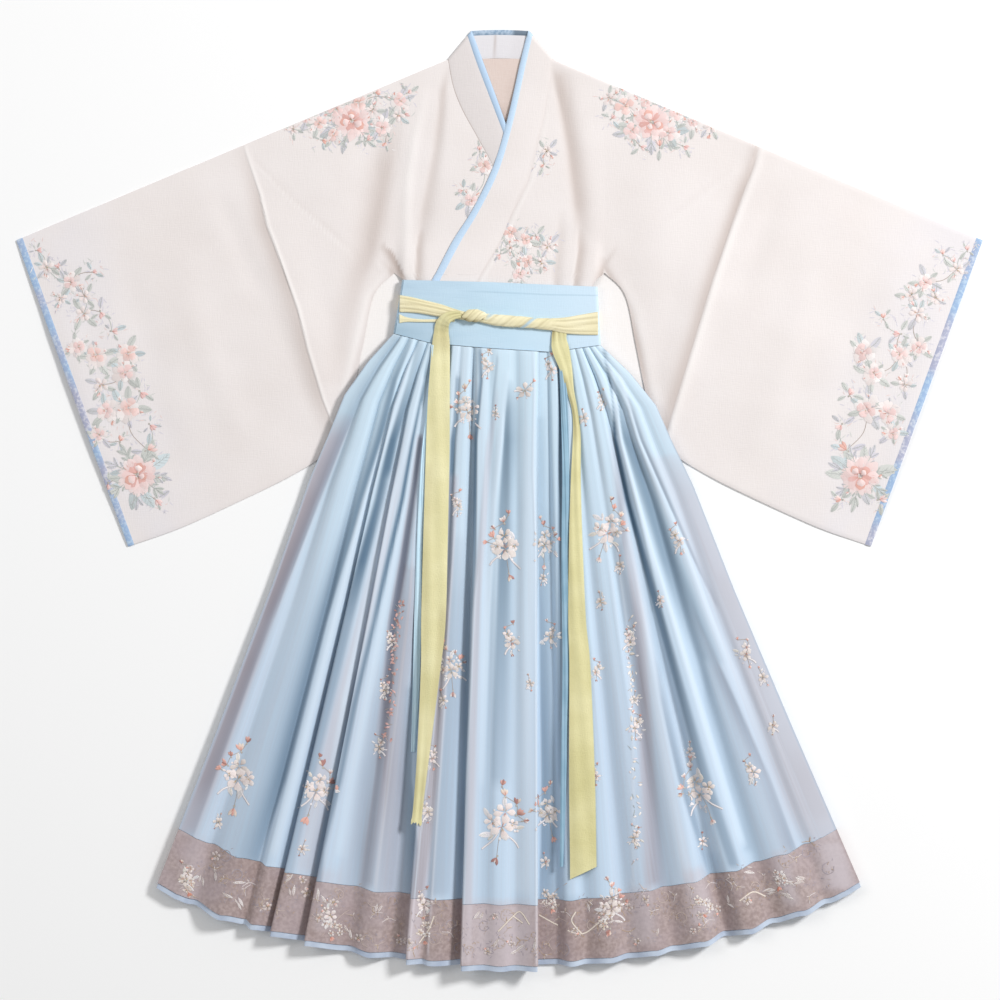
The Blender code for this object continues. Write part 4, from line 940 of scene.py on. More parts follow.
def sleeve_stretch(side, start, end, count, name, material, raised=0.0):
    """A stretch of the sleeve end all round, between two shares of the way out to the cuff."""
    front_shares, back_shares = np.linspace(0, 1, SLEEVE_ROWS), np.linspace(0, 1, BACK_ROWS)
    stations = np.linspace(start, end, count)
    if start == 0:
        stations = np.concatenate([np.linspace(0, 0.05, SEAM_STATIONS),
                                   np.linspace(0.06, end, count - SEAM_STATIONS)])
    sections = []
    for out in stations:
        top_x = mix(SLEEVE_SEAM_X, CUFF_X, out)
        top_y = shoulder_y(top_x)
        foot = flowing(SLEEVE_FOOT, 12)
        foot_x, foot_y = (np.interp(out, foot[:, 0], foot[:, column]) for column in (1, 2))
        length = math.hypot(top_x - foot_x, top_y - foot_y)
        ridge = 1 - smooth(0, 0.13, out)
        shares = front_shares
        x, y = side * mix(top_x, foot_x, shares), mix(top_y, foot_y, shares)
        front = creased(x, y, GROUND + LAYER + sleeve_puff(shares) + ridge * sleeve_ridge(shares), 1)
        front = front + raised * np.sin(math.pi * (out - start) / (end - start)) ** 0.5
        front_row = grid(x, y, front)
        x, y = side * mix(top_x, foot_x, back_shares), mix(top_y, foot_y, back_shares)
        back_row = grid(x, y, creased(x, y, GROUND, 0))
        turns = []
        for first, second, way in ((back_row[-1], front_row[-1], 1), (front_row[0], back_row[0], -1)):
            for angle in WALL_TURN:
                point = mix(first, second, 0.5 - 0.5 * math.cos(angle))
                reach = abs(second[2] - first[2]) / 2 * math.sin(angle) / length * way
                turns.append(point + reach * np.array([side * (foot_x - top_x), foot_y - top_y, 0]))
        half = len(WALL_TURN)
        sections.append(np.vstack([back_row, turns[:half], front_row[::-1], turns[half:],
                                   back_row[:1]]))
    patches = Patches()
    points = np.stack(sections)
    values = top_values(points[..., 0], points[..., 1])
    place = np.arange(points.shape[1]) - BACK_ROWS - len(WALL_TURN)
    is_front = ((place >= 0) & (place < SLEEVE_ROWS))[None, :]
    # painted shade and painted highlight from the streams, on the front only
    patches.add(points, out=stations[:, None], inner=0.0,
                depth=values[1] * is_front, edge=values[3] * is_front)
    return patches.build(name, material)


def collar_strip(start, end, name, material, crown, steps):
    """The strip of the collar between two shares of its width, measured from the piped edge."""
    under, over = np.array(UNDER_COLLAR, float), np.array(OVER_COLLAR, float)
    around = np.vstack([under[:1], np.array(BACK_COLLAR, float), over[:1]])
    rows, levels = [], []

    def add(line, level):
        rows.extend(line)
        levels.extend([level] * len(line))

    add(flowing(under, COLLAR_STEPS)[::-1], 1)
    add([under[0] - np.array([0.5, 0, 0.5, 0]) * LAYER], 0.5)
    add(flowing(around, COLLAR_STEPS), 0)
    add([over[0] + np.array([1, 0, 1, 0]) * LAYER], 1)
    add(flowing(over, COLLAR_STEPS), 2)
    rows, levels = np.array(rows), np.array(levels)[:, None]
    share = np.linspace(start, end, steps)[None, :]
    if end == 1:            # a narrow last strip carries the seam's dark line
        share = np.append(np.linspace(start, 0.965, steps - 1), 1)[None, :]
    x = mix(rows[:, 0, None], rows[:, 2, None], share)
    y = mix(rows[:, 1, None], rows[:, 3, None], share)
    z = np.empty_like(x)
    for level in (0, 0.5, 1, 2):
        pick = levels[:, 0] == level
        z[pick] = body_height(x[pick], y[pick], level)
        z[pick] = creased(x[pick], y[pick], z[pick], 1 if level else 0) if level != 0.5 else z[pick]
    swell = np.maximum(0, np.sin(math.pi * (share - start) / (end - start))) ** 0.5
    hidden = (levels == 1) & (y < SEEN_UNDER_Y)
    z = z + crown * swell * np.where(hidden, 0.2, np.where(levels == 0.5, 0.5, 1))
    patches = Patches()
    values = top_values(x, y)
    back_seam = 0.4 * np.exp(-((x + BACK_SEAM_X) / 1.8) ** 2) * (y > BACK_SEAM_LOW_Y)
    # painted shade on the back collar, growing towards the right side of the neck; the under and away values
    # carry painted shade into the materials, and edge carries painted highlight
    neck_side = 0.5 * smooth(10, 26, x)
    seam = np.where(levels == 1, 0.62, 0.12) * (share == 1) * (end == 1)
    depth = np.where(levels > 0, np.maximum(values[1], seam), np.maximum(back_seam, 0.12 * neck_side))
    patches.add(grid(x, y, z), inner=0.0, depth=depth, edge=values[3] * (levels > 0),
                under=np.where(levels == 1, 1.0, 0.0) + 0 * x, behind=np.where(levels < 1, 1.0, 0.0) + 0 * x,
                away=np.clip((x + NECK_HALF) / (2 * NECK_HALF), 0, 1))
    return patches.build(name, material, angle=80)


# ---- ribbons ------------------------------------------------------------------------------------
RIBBON_WALL = 0.6
RIBBON_CURL = 0.8               # how far a ribbon's middle stands above its edges
RIBBON_POINTS = 17              # in a row across; the cloth below is sought under every second one
BRIDGED = 5                     # rows on each side that a ribbon spans from one high place to the next
CREASED_ROWS = 30.0             # rows from its upper end over which its creases fade
ABOVE_ALL = 0.2                 # metres above the floor, where the search for the cloth starts


def surface_of(things):
    """A search tree over the shown surfaces of several pieces."""
    points, faces = [], []
    graph = bpy.context.evaluated_depsgraph_get()
    for thing in things:
        mesh = thing.evaluated_get(graph).to_mesh()
        first = len(points)
        points += [vertex.co.copy() for vertex in mesh.vertices]
        faces += [[first + index for index in face.vertices] for face in mesh.polygons]
    return BVHTree.FromPolygons(points, faces)


def height_on(surface, x, y):
    """Height in millimetres of the uppermost cloth at a place, or None beside it."""
    hit = surface.ray_cast(Vector((x * MM, y * MM, ABOVE_ALL)), Vector((0, 0, -1)))[0]
    return None if hit is None else hit.z / MM


def windowed(values, reach, measure):
    """What a measure gives for each value together with its neighbours within reach."""
    padded = np.pad(values, reach, mode="edge")
    return np.array([measure(padded[index:index + 2 * reach + 1]) for index in range(len(values))])


def ribbon(name, route, surface, lift, material, slant=0.0, ragged=0.0, shades=()):
    """A ribbon that hangs over the folds: it bridges their valleys and keeps its edges near them.

    Each shade has the y where it begins and ends, its two limits across and how strong it is.
    """
    line = flowing(route, 12)
    across = np.linspace(-1, 1, RIBBON_POINTS)
    run = np.gradient(line[:, :2], axis=0)
    run /= np.hypot(run[:, 0], run[:, 1])[:, None]
    side_x = line[:, 0, None] - run[:, 1, None] * line[:, 2, None] * across
    side_y = line[:, 1, None] + run[:, 0, None] * line[:, 2, None] * across
    heights = []
    for row_x, row_y in zip(side_x, side_y):
        found = [height_on(surface, x, y) for x, y in zip(row_x[::2], row_y[::2])]
        heights.append(max([height for height in found if height is not None] or [0]))
    heights = np.array(heights)
    level = windowed(windowed(heights, BRIDGED, np.max), BRIDGED, np.mean)
    level = (np.maximum(level, heights) + lift)[:, None]
    y = line[:, 1, None]
    z = level + RIBBON_CURL * (1 - across ** 2) + 0.35 * np.sin(across * 5 + y * 0.02)
    z = z + 0.3 * np.sin(y * 0.045 + across * 1.2)
    near_top = np.exp(-((np.arange(len(line)) / CREASED_ROWS) ** 2))[:, None]
    z = z + 0.45 * near_top * np.sin(across * 9 + y * 0.05)
    draw = np.random.default_rng(5)
    side_y[-1] -= slant * (1 - across) / 2 + ragged * draw.uniform(0, 1, len(across))
    # painted shade in the creases near the upper end; each shade below adds painted shade along a stretch
    depth = 0.35 * near_top * np.clip(-np.sin(across * 9 + y * 0.05), 0, 1)
    for top, foot, low, high, strength in shades:
        inside = smooth(-top, -top + 20, -y) * (1 - smooth(-foot - 30, -foot, -y))
        depth = depth + strength * inside * np.exp(-(((across - (low + high) / 2) / ((high - low) / 2)) ** 4))
    patches = Patches()
    patches.add(grid(side_x, side_y, z), across=across[None, :], blue=0.0, depth=np.clip(depth, 0, 1))
    return patches.build(name, material, wall=RIBBON_WALL, weld=False)


# ---- embroidery ---------------------------------------------------------------------------------
WHITE = (0.91, 0.88, 0.87)
CREAM = (0.86, 0.78, 0.68)
BLUSH = (0.86, 0.70, 0.67)
ROSE = (0.87, 0.57, 0.55)
SALMON = (0.84, 0.47, 0.40)
CORAL = (0.66, 0.27, 0.20)
RUSSET = (0.44, 0.22, 0.20)
GOLD = (0.60, 0.45, 0.25)
LILAC = (0.72, 0.70, 0.78)
PETAL = (0.93, 0.75, 0.73)
FRILL = (0.94, 0.84, 0.83)
FAWN = (0.64, 0.52, 0.46)
LEAF = (0.68, 0.70, 0.67)
SAGE = (0.55, 0.59, 0.55)
VEIN = (0.47, 0.50, 0.48)
SKY = (0.63, 0.72, 0.76)
TWIG = (0.48, 0.41, 0.36)
STEEP = 2.5                     # stitches end where the cloth drops by more than this under one


class Stitches:
    """Raised satin stitch: petals, leaves, stems and single stitches in one mesh on the cloth."""

    def __init__(self, seed):
        self.draw = np.random.default_rng(seed)
        self.points, self.lifts, self.colours, self.threads, self.faces = [], [], [], [], []
        self.count = 0

    def near(self, low, high):
        return self.draw.uniform(low, high)

    def pick(self, *colours):
        return colours[self.draw.integers(len(colours))]

    def patch(self, x, y, lift, colour, thread):
        rows, columns = x.shape
        self.points.append(np.stack([x.ravel(), y.ravel()], axis=-1))
        self.lifts.append(np.broadcast_to(lift, x.shape).ravel())
        self.colours.append(np.broadcast_to(colour, x.shape + (3,)).reshape(-1, 3))
        self.threads.append(np.broadcast_to(thread, x.shape).ravel())
        self.faces.append(grid_faces(rows, columns, self.count))
        self.count += x.size

    def petal(self, x, y, turn, length, width, root, tip, lift=0.3, dome=0.5, blunt=1.5, bend=0.0,
              fade=1.0):
        """One petal or leaf from its root; blunt above 1 is broad at the tip, 1 is a lens."""
        rows, columns = (6, 5) if length > 9 else (5, 3)
        along_it = np.linspace(0.02, 0.985, rows)[:, None]
        across = np.linspace(-1, 1, columns)[None, :]
        half = width / 2 * np.sin(math.pi * along_it ** blunt) ** 0.75
        forward, aside = along_it * length, across * half + bend * length * along_it ** 2
        cos, sin = math.cos(turn), math.sin(turn)
        height = lift + dome * np.sin(math.pi * along_it) ** 0.6 * (1 - across ** 2)
        shade = np.clip(along_it ** fade * 1.15, 0, 1)[..., None] + 0 * across[..., None]
        colour = mix(np.array(root), np.array(tip), shade) * (1 + 0.05 * self.draw.standard_normal())
        self.patch(x + forward * cos - aside * sin, y + forward * sin + aside * cos, height, colour,
                   across * half + 0 * along_it)

    def stitch(self, x, y, turn, length, width, colour, lift=0.6, bend=0.0):
        """A single tapered stitch."""
        along_it = np.array([0.0, 0.5, 1.0])[:, None]
        half = np.array([0.6, 1.0, 0.3])[:, None] * width / 2
        across = np.array([-1.0, 1.0])[None, :]
        forward, aside = along_it * length + 0 * across, across * half + bend * length * along_it ** 2
        cos, sin = math.cos(turn), math.sin(turn)
        self.patch(x + forward * cos - aside * sin, y + forward * sin + aside * cos, lift,
                   np.array(colour), across * half)

    def stem(self, stops, width, colour, lift=0.25, count=5):
        line = flowing(stops, count)
        run = np.gradient(line, axis=0)
        run /= np.maximum(1e-9, np.hypot(run[:, 0], run[:, 1]))[:, None]
        across = np.array([-1.0, 0.0, 1.0])[None, :] * width / 2
        x = line[:, 0, None] - run[:, 1, None] * across
        y = line[:, 1, None] + run[:, 0, None] * across
        self.patch(x, y, lift + 0.25 * (1 - (across / width * 2) ** 2) + 0 * x, np.array(colour),
                   across + 0 * x)

    def scatter(self, x, y, reach, count, size, width, colours, lift=0.6, fan=0.6):
        """Single stitches that point away from a place, more or less."""
        for _ in range(count):
            turn, far = self.near(0, 2 * math.pi), reach * self.near(0.15, 1)
            self.stitch(x + far * math.cos(turn), y + far * math.sin(turn), turn + self.near(-fan, fan),
                        size * self.near(0.5, 1.1), width, self.pick(*colours), lift, self.near(-0.2, 0.2))

    def ring(self, x, y, radius, turn, count, reach, width, root, tip, lift, dome=0.5, fade=0.6,
             gap=0.1, uneven=0.18):
        """Petals round a place, uneven in size, tint and direction."""
        for index in range(count):
            angle = turn + 2 * math.pi * index / count + self.near(-0.22, 0.22)
            tint = self.near(0, 0.45)
            self.petal(x + gap * radius * math.cos(angle), y + gap * radius * math.sin(angle), angle,
                       radius * reach * self.near(1 - uneven, 1 + uneven), radius * width,
                       mix(np.array(root), np.array(tip), tint), mix(np.array(tip), np.array(root), tint),
                       lift + 0.06 * (index % 2), dome, 1.6, self.near(-0.15, 0.15), fade)

    def plum(self, x, y, radius, turn=0.0, root=BLUSH, tip=WHITE, heart=CORAL):
        """A plum blossom: separate uneven petals round a few stamens."""
        self.ring(x, y, radius, turn, 5, 1.08, 0.76, root, tip, 0.35, 0.6, fade=1.5, gap=0.14)
        self.scatter(x, y, radius * 0.2, 6, radius * 0.42, 0.85, (heart, GOLD, TWIG), 1.1)
        self.scatter(x, y, radius * 0.8, 4, radius * 0.35, 0.6, (root, LILAC), 0.95)

    def rose(self, x, y, radius, turn=0.0):
        """A half-open rose: broad uneven petals round a heart that sits to one side."""
        heart_x, heart_y = x + 0.2 * radius * math.cos(turn), y + 0.2 * radius * math.sin(turn)
        tone = np.array(self.pick(SALMON, ROSE, ROSE))
        self.ring(x, y, radius, turn, 6, 1.1, 1.0, BLUSH, WHITE, 0.3, 0.4, fade=0.8, uneven=0.25)
        self.ring(heart_x, heart_y, radius, turn + 0.5, 4, 0.74, 0.80, tone, PETAL, 0.6, fade=0.8,
                  uneven=0.25)
        self.ring(heart_x, heart_y, radius, turn + 0.9, 3, 0.40, 0.48, tone, BLUSH, 0.9, 0.3)
        self.scatter(heart_x, heart_y, radius * 0.22, 4, radius * 0.22, 0.8, (CORAL, SALMON, GOLD), 1.25)
        self.scatter(x, y, radius * 0.9, 7, radius * 0.3, 0.7, (BLUSH, LILAC, WHITE), 1.0)

    def peony(self, x, y, radius, turn=0.0):
        """A full peony: a round ruffled rim, coral hollows and round pale inner petals."""
        self.ring(x, y, radius, turn, 13, 1.02, 0.70, ROSE, FRILL, 0.3, fade=1.1, uneven=0.1)
        self.scatter(x, y, radius * 0.95, 26, radius * 0.2, 0.8, (WHITE, PETAL, ROSE), 0.9, 0.3)
        self.ring(x, y, radius, turn + 0.25, 10, 0.80, 0.54, ROSE, PETAL, 0.6, fade=0.8, uneven=0.15)
        self.scatter(x, y, radius * 0.7, 18, radius * 0.2, 0.8, (WHITE, ROSE, SALMON), 1.15, 0.3)
        self.ring(x, y, radius, turn + 0.1, 7, 0.56, 0.44, CORAL, ROSE, 0.9, 0.3)
        for angle, away, size in ((0.3, 0.10, 0.50), (2.5, 0.04, 0.36), (4.2, 0.14, 0.42)):
            way_x, way_y = math.cos(turn + angle), math.sin(turn + angle)
            start_x, start_y = x + away * radius * way_x, y + away * radius * way_y
            self.petal(start_x - 1.5 * way_y, start_y + 1.5 * way_x, turn + angle, size * radius * 1.35,
                       size * radius * 1.1, CORAL, SALMON, 1.1, 0.4, 1.4, fade=0.9)
            self.petal(start_x, start_y, turn + angle + 0.2, size * radius, size * radius * 0.95, ROSE,
                       PETAL, 1.3, 1.3, 1.5, 0.1, 0.6)
        self.scatter(x, y, radius * 0.12, 4, radius * 0.14, 0.9, (CREAM, GOLD), 2.2)

    def bud(self, x, y, size, turn, root=CORAL, tip=BLUSH):
        """A bud in its calyx: one pale petal beside the coral ones."""
        for aside in (-0.4, 0.05, 0.5):
            self.petal(x, y, turn + aside, size * self.near(0.8, 1.15), size * 0.42, root,
                       self.pick(root, tip, tip), 0.35, 0.5, 1.25)
        self.petal(x, y, turn + math.pi, size * 0.4, size * 0.3, SAGE, TWIG, 0.3, 0.3, 1.0)
        self.stitch(x, y, turn + self.near(-0.3, 0.3), size * 0.55, 0.7, CORAL, 0.95)

    def leaf(self, x, y, length, turn, root=LEAF, tip=LEAF, wide=0.36, vein=VEIN):
        """A pale leaf with a darker midrib and side veins."""
        bend = self.near(-0.2, 0.2)
        self.petal(x, y, turn, length, length * wide, root, tip, 0.2, 0.3, 1.0, bend)
        if length < 6:
            return
        cos, sin = math.cos(turn), math.sin(turn)
        self.stitch(x, y, turn, length * 0.95, 0.8, vein, 0.62, bend)
        for share in np.arange(0.15, 0.85, max(0.16, 2.6 / length)):
            forward, aside = length * share, bend * length * share ** 2
            reach = length * wide * 0.55 * math.sin(math.pi * share) ** 0.75
            for side in (-0.6, 0.6):
                self.stitch(x + forward * cos - aside * sin, y + forward * sin + aside * cos,
                            turn + side, reach, 0.7,
                            mix(np.array(root), np.array(vein), self.near(0.1, 0.8)), 0.52)

    def frond(self, x, y, length, turn):
        """A lobed leaf: pointed lobes along both sides of a midrib."""
        cos, sin = math.cos(turn), math.sin(turn)
        root = np.array(self.pick(LEAF, LEAF, LILAC))
        for share, aside, size in ((0.50, 0.0, 0.52), (0.40, 0.55, 0.46), (0.36, -0.6, 0.46),
                                   (0.12, 0.7, 0.40), (0.1, -0.75, 0.40)):
            self.leaf(x + share * length * cos, y + share * length * sin,
                      length * size * self.near(0.85, 1.1), turn + aside + self.near(-0.12, 0.12),
                      root, mix(root, np.array(SAGE), self.near(0, 0.5)))
        self.stitch(x, y, turn, length * 0.6, 1.0, SAGE, 0.7)

    def leaves(self, x, y, radius, count, length):
        """Leaves that stand out all round a bloom, some sage, some lilac or blue."""
        first = self.near(0, 2 * math.pi)
        for index in range(count):
            turn = first + 2 * math.pi * index / count + self.near(-0.4, 0.4)
            root = np.array(self.pick(LEAF, LEAF, LEAF, LILAC, SKY))
            self.leaf(x + radius * math.cos(turn), y + radius * math.sin(turn),
                      length * self.near(0.6, 1.3), turn, root,
                      mix(root, np.array(SAGE), self.near(0, 0.6)), 0.44)

    def build(self, name, surface, material):
        """The mesh on the cloth, without the stitches that lie beside it or over a steep drop."""
        plan, lifts = np.vstack(self.points), np.concatenate(self.lifts)
        heights = [height_on(surface, x, y) for x, y in plan]
        faces = np.vstack(self.faces)
        missing = np.array([height is None for height in heights])
        faces = faces[~missing[faces].any(axis=1)]
        heights = np.array([0.0 if height is None else height for height in heights])
        faces = faces[np.ptp(heights[faces], axis=1) < STEEP]
        colours = np.vstack(self.colours)
        colours = np.column_stack([np.clip(colours, 0, 1), np.ones(len(colours))])
        points = np.column_stack([plan, heights + lifts])
        used = np.unique(faces)
        index = np.full(len(points), -1)
        index[used] = np.arange(len(used))
        return add_object(name, points[used], index[faces], material,
                          {"stitch": colours[used], "thread": np.concatenate(self.threads)[used]})


# plum sprigs on the skirt: the middle of each, its size, the way its twig leans and its kind
Sprig = namedtuple("Sprig", "x y size lean kind")
SPRIGS = (
    Sprig(-17, 194, 24, 0.1, "pair"), Sprig(-48, 132, 36, 0, "cluster"),
    Sprig(37, 160, 24, -0.9, "single"), Sprig(-6, 126, 14, 0.2, "single"),
    Sprig(76, 190, 22, 0.1, "pair"), Sprig(124, 119, 16, 0, "single"),
    Sprig(151, 143, 18, 0, "pair"), Sprig(-61, -10, 22, 0.1, "pair"),
    Sprig(8, -68, 42, -0.05, "cluster"), Sprig(67, -64, 32, 0.1, "cluster"),
    Sprig(64, -116, 16, 0, "single"), Sprig(160, -46, 40, -0.15, "cluster"),
    Sprig(177, -98, 18, -0.2, "single"), Sprig(264, -62, 26, 0.3, "pair"),
    Sprig(18, -210, 28, 0.1, "pair"), Sprig(74, -203, 24, 0, "pair"),
    Sprig(45, -270, 16, 0, "single"), Sprig(-71, -248, 34, 0.25, "cluster"),
    Sprig(149, -151, 18, 0, "single"), Sprig(142, -254, 18, 0, "pair"),
    Sprig(192, -209, 22, -0.1, "pair"), Sprig(199, -337, 24, 0, "pair"),
    Sprig(362, -229, 26, 0.3, "pair"), Sprig(387, -262, 20, 0.3, "single"),
    Sprig(402, -334, 18, 0.2, "single"), Sprig(373, -401, 26, 0.3, "pair"),
    Sprig(-158, -210, 20, 0.05, "pair"), Sprig(-168, -281, 20, 0.05, "pair"),
    Sprig(-177, -366, 20, 0.05, "pair"), Sprig(-384, -407, 46, -0.25, "cluster"),
    Sprig(-414, -475, 16, -0.2, "single"), Sprig(-268, -425, 42, -0.15, "cluster"),
    Sprig(-290, -513, 16, -0.2, "single"), Sprig(5, -475, 50, -0.05, "cluster"),
    Sprig(71, -460, 36, 0, "cluster"), Sprig(67, -534, 16, 0, "single"),
    Sprig(293, -429, 44, 0.3, "cluster"), Sprig(280, -372, 18, 0.2, "single"),
    Sprig(299, -504, 16, 0.2, "single"), Sprig(198, -295, 16, 0, "single"),
    Sprig(198, -498, 20, 0, "pair"), Sprig(-99, -381, 22, 0.1, "pair"),
    Sprig(-83, -295, 18, 0.1, "single"), Sprig(-15, 219, 12, 0, "single"),
    Sprig(142, -407, 18, 0, "pair"), Sprig(-105, -460, 22, 0.1, "pair"),
    Sprig(236, -148, 16, 0, "single"), Sprig(-111, -597, 26, 0, "pair"),
    Sprig(165, -597, 34, 0.1, "cluster"), Sprig(-461, -560, 26, 0, "pair"),
    Sprig(-248, -612, 24, 0.3, "pair"),
)


# what a sprig is made of, in shares of its size from its middle: blossoms, buds along the main
# twig from the top down, pale side twigs, and how many loose leaves and petals
SprigForm = namedtuple("SprigForm", "blossoms buds twigs leaves petals")
SPRIG_FORMS = {
    "cluster": SprigForm(
        ((0.04, 0.32, 0.21), (-0.02, -0.12, 0.27), (-0.32, 0.02, 0.17), (0.30, -0.04, 0.14)),
        ((-0.06, 1.10, 0.20), (0.06, 0.80, 0.26), (0.36, 0.56, 0.20), (0.40, 0.26, 0.24),
         (0.58, 0.08, 0.20), (-0.16, -1.02, 0.28)),
        ((-0.1, -0.25, -0.58, -0.80), (0.12, -0.35, 0.50, -0.72)), 6, 8),
    "pair": SprigForm(((0.0, 0.0, 0.27), (0.15, 0.40, 0.20)),
                      ((-0.15, 0.95, 0.22), (0.30, 0.72, 0.17), (0.05, -0.62, 0.19)),
                      ((0.05, -0.2, 0.42, -0.62),), 4, 5),
    "single": SprigForm(((0.0, 0.0, 0.32),), ((0.12, 0.72, 0.24), (-0.14, -0.58, 0.18)),
                        ((0.0, -0.2, 0.35, -0.55),), 2, 3),
}


def sew_sprig(work, sprig):
    """A plum sprig: white blossoms, coral buds above and below, thin twigs and pale leaves."""
    form, size = SPRIG_FORMS[sprig.kind], sprig.size
    cos, sin = math.cos(sprig.lean), math.sin(sprig.lean)
    flip = work.pick(-1, 1)

    def place(right, up):
        right = right * flip
        return sprig.x + size * (right * cos - up * sin), sprig.y + size * (right * sin + up * cos)

    buds = [place(right + work.near(-0.05, 0.05), up) for right, up, bud in form.buds]
    line = [bud for bud, (right, up, share) in zip(buds, form.buds) if up > 0] + [place(0, 0)]
    work.stem(line, 0.8, TWIG)
    for (x, y), (right, up, share) in zip(buds, form.buds):
        towards = place(right * 0.6, up * 0.5)
        if up < 0:
            work.stem((place(0, 0), towards, (x, y)), 0.7, TWIG)
        turn = math.atan2(y - towards[1], x - towards[0]) + work.near(-0.4, 0.4)
        work.bud(x, y, size * share * work.near(0.75, 1.05), turn, work.pick(RUSSET, RUSSET, SALMON),
                 work.pick(SALMON, CREAM, WHITE))
    for start_right, start_up, right, up in form.twigs:
        ends = (place(start_right, start_up), place((start_right + right) / 2 + 0.06, (start_up + up) / 2),
                place(right, up))
        work.stem(ends, 2.8, FAWN, 0.15)
        work.stem(ends, 2.2, LILAC, 0.3)
        work.stem(ends, 1.2, WHITE, 0.6)
    for _ in range(form.leaves):
        turn = work.near(0, 2 * math.pi)
        x, y = place(0.40 * math.cos(turn), 0.45 * math.sin(turn))
        work.leaf(x, y, size * work.near(0.22, 0.42), turn + work.near(-0.5, 0.5),
                  work.pick(LILAC, CREAM, LILAC), WHITE, 0.42, LEAF)
    for right, up, radius in form.blossoms:
        x, y = place(right, up)
        work.plum(x, y, size * radius * work.near(1.0, 1.3), work.near(0, 1.2),
                  work.pick(FAWN, FAWN, BLUSH), WHITE, work.pick(CORAL, GOLD, SAGE))
    for _ in range(form.petals):
        turn = work.near(0, 2 * math.pi)
        x, y = place(0.42 * math.cos(turn), 0.48 * math.sin(turn) - 0.05)
        work.petal(x, y, work.near(0, 2 * math.pi), size * work.near(0.08, 0.16), size * 0.08,
                   work.pick(LILAC, WHITE, BLUSH), WHITE, 0.4, 0.4, 1.3)


# loose columns of small buds, petals and stitches: a line down the skirt and the colours on it
COLUMNS = ((((-146, -150), (-156, -240), (-164, -355)), (RUSSET, ROSE, SALMON)),
           (((192, -180), (196, -300), (201, -530)), (WHITE, LILAC, CREAM)))


def sew_column(work, line, colours):
    """Small petals in pairs and a stitch with each, strewn along a line."""
    for x, y in flowing(line, 15):
        turn = work.near(0, 2 * math.pi)
        for _ in range(2):
            aside, below = work.near(-6, 6), work.near(-5, 5)
            work.petal(x + aside, y + below, turn + work.near(-1, 1), work.near(4, 8), work.near(2.2, 3.6),
                       work.pick(*colours), work.pick(*colours), 0.3, 0.4, 1.3)
        work.stitch(x + work.near(-5, 5), y, turn, work.near(5, 10), 0.9, work.pick(FAWN, VEIN, TWIG), 0.5)


def sew_skirt(surface, material):
    work = Stitches(21)
    for line, colours in COLUMNS:
        sew_column(work, line, colours)
    for sprig in SPRIGS:
        sew_sprig(work, sprig)
    return work.build("skirt_embroidery", surface, material)


# on the hem band, in x and y: its longer twigs, and the middles of its white clusters, which have a
# coral bud each; the small things between them run from one place along the hem to another
BAND_START, BAND_END = -470.0, 505
BAND_TWIGS = (((58, -612), (86, -627), (121, -639), (146, -622)),
              ((121, -639), (106, -620), (112, -606)),
              ((-2, -634), (20, -612), (31, -606), (44, -624)), ((20, -612), (34, -622)),
              ((-96, -612), (-104, -632), (-118, -652)), ((352, -590), (372, -577), (391, -584)))
BAND_CLUSTERS = ((-455, -569), (-245, -634), (-114, -640), (75, -594), (155, -627), (300, -600),
                 (410, -560))


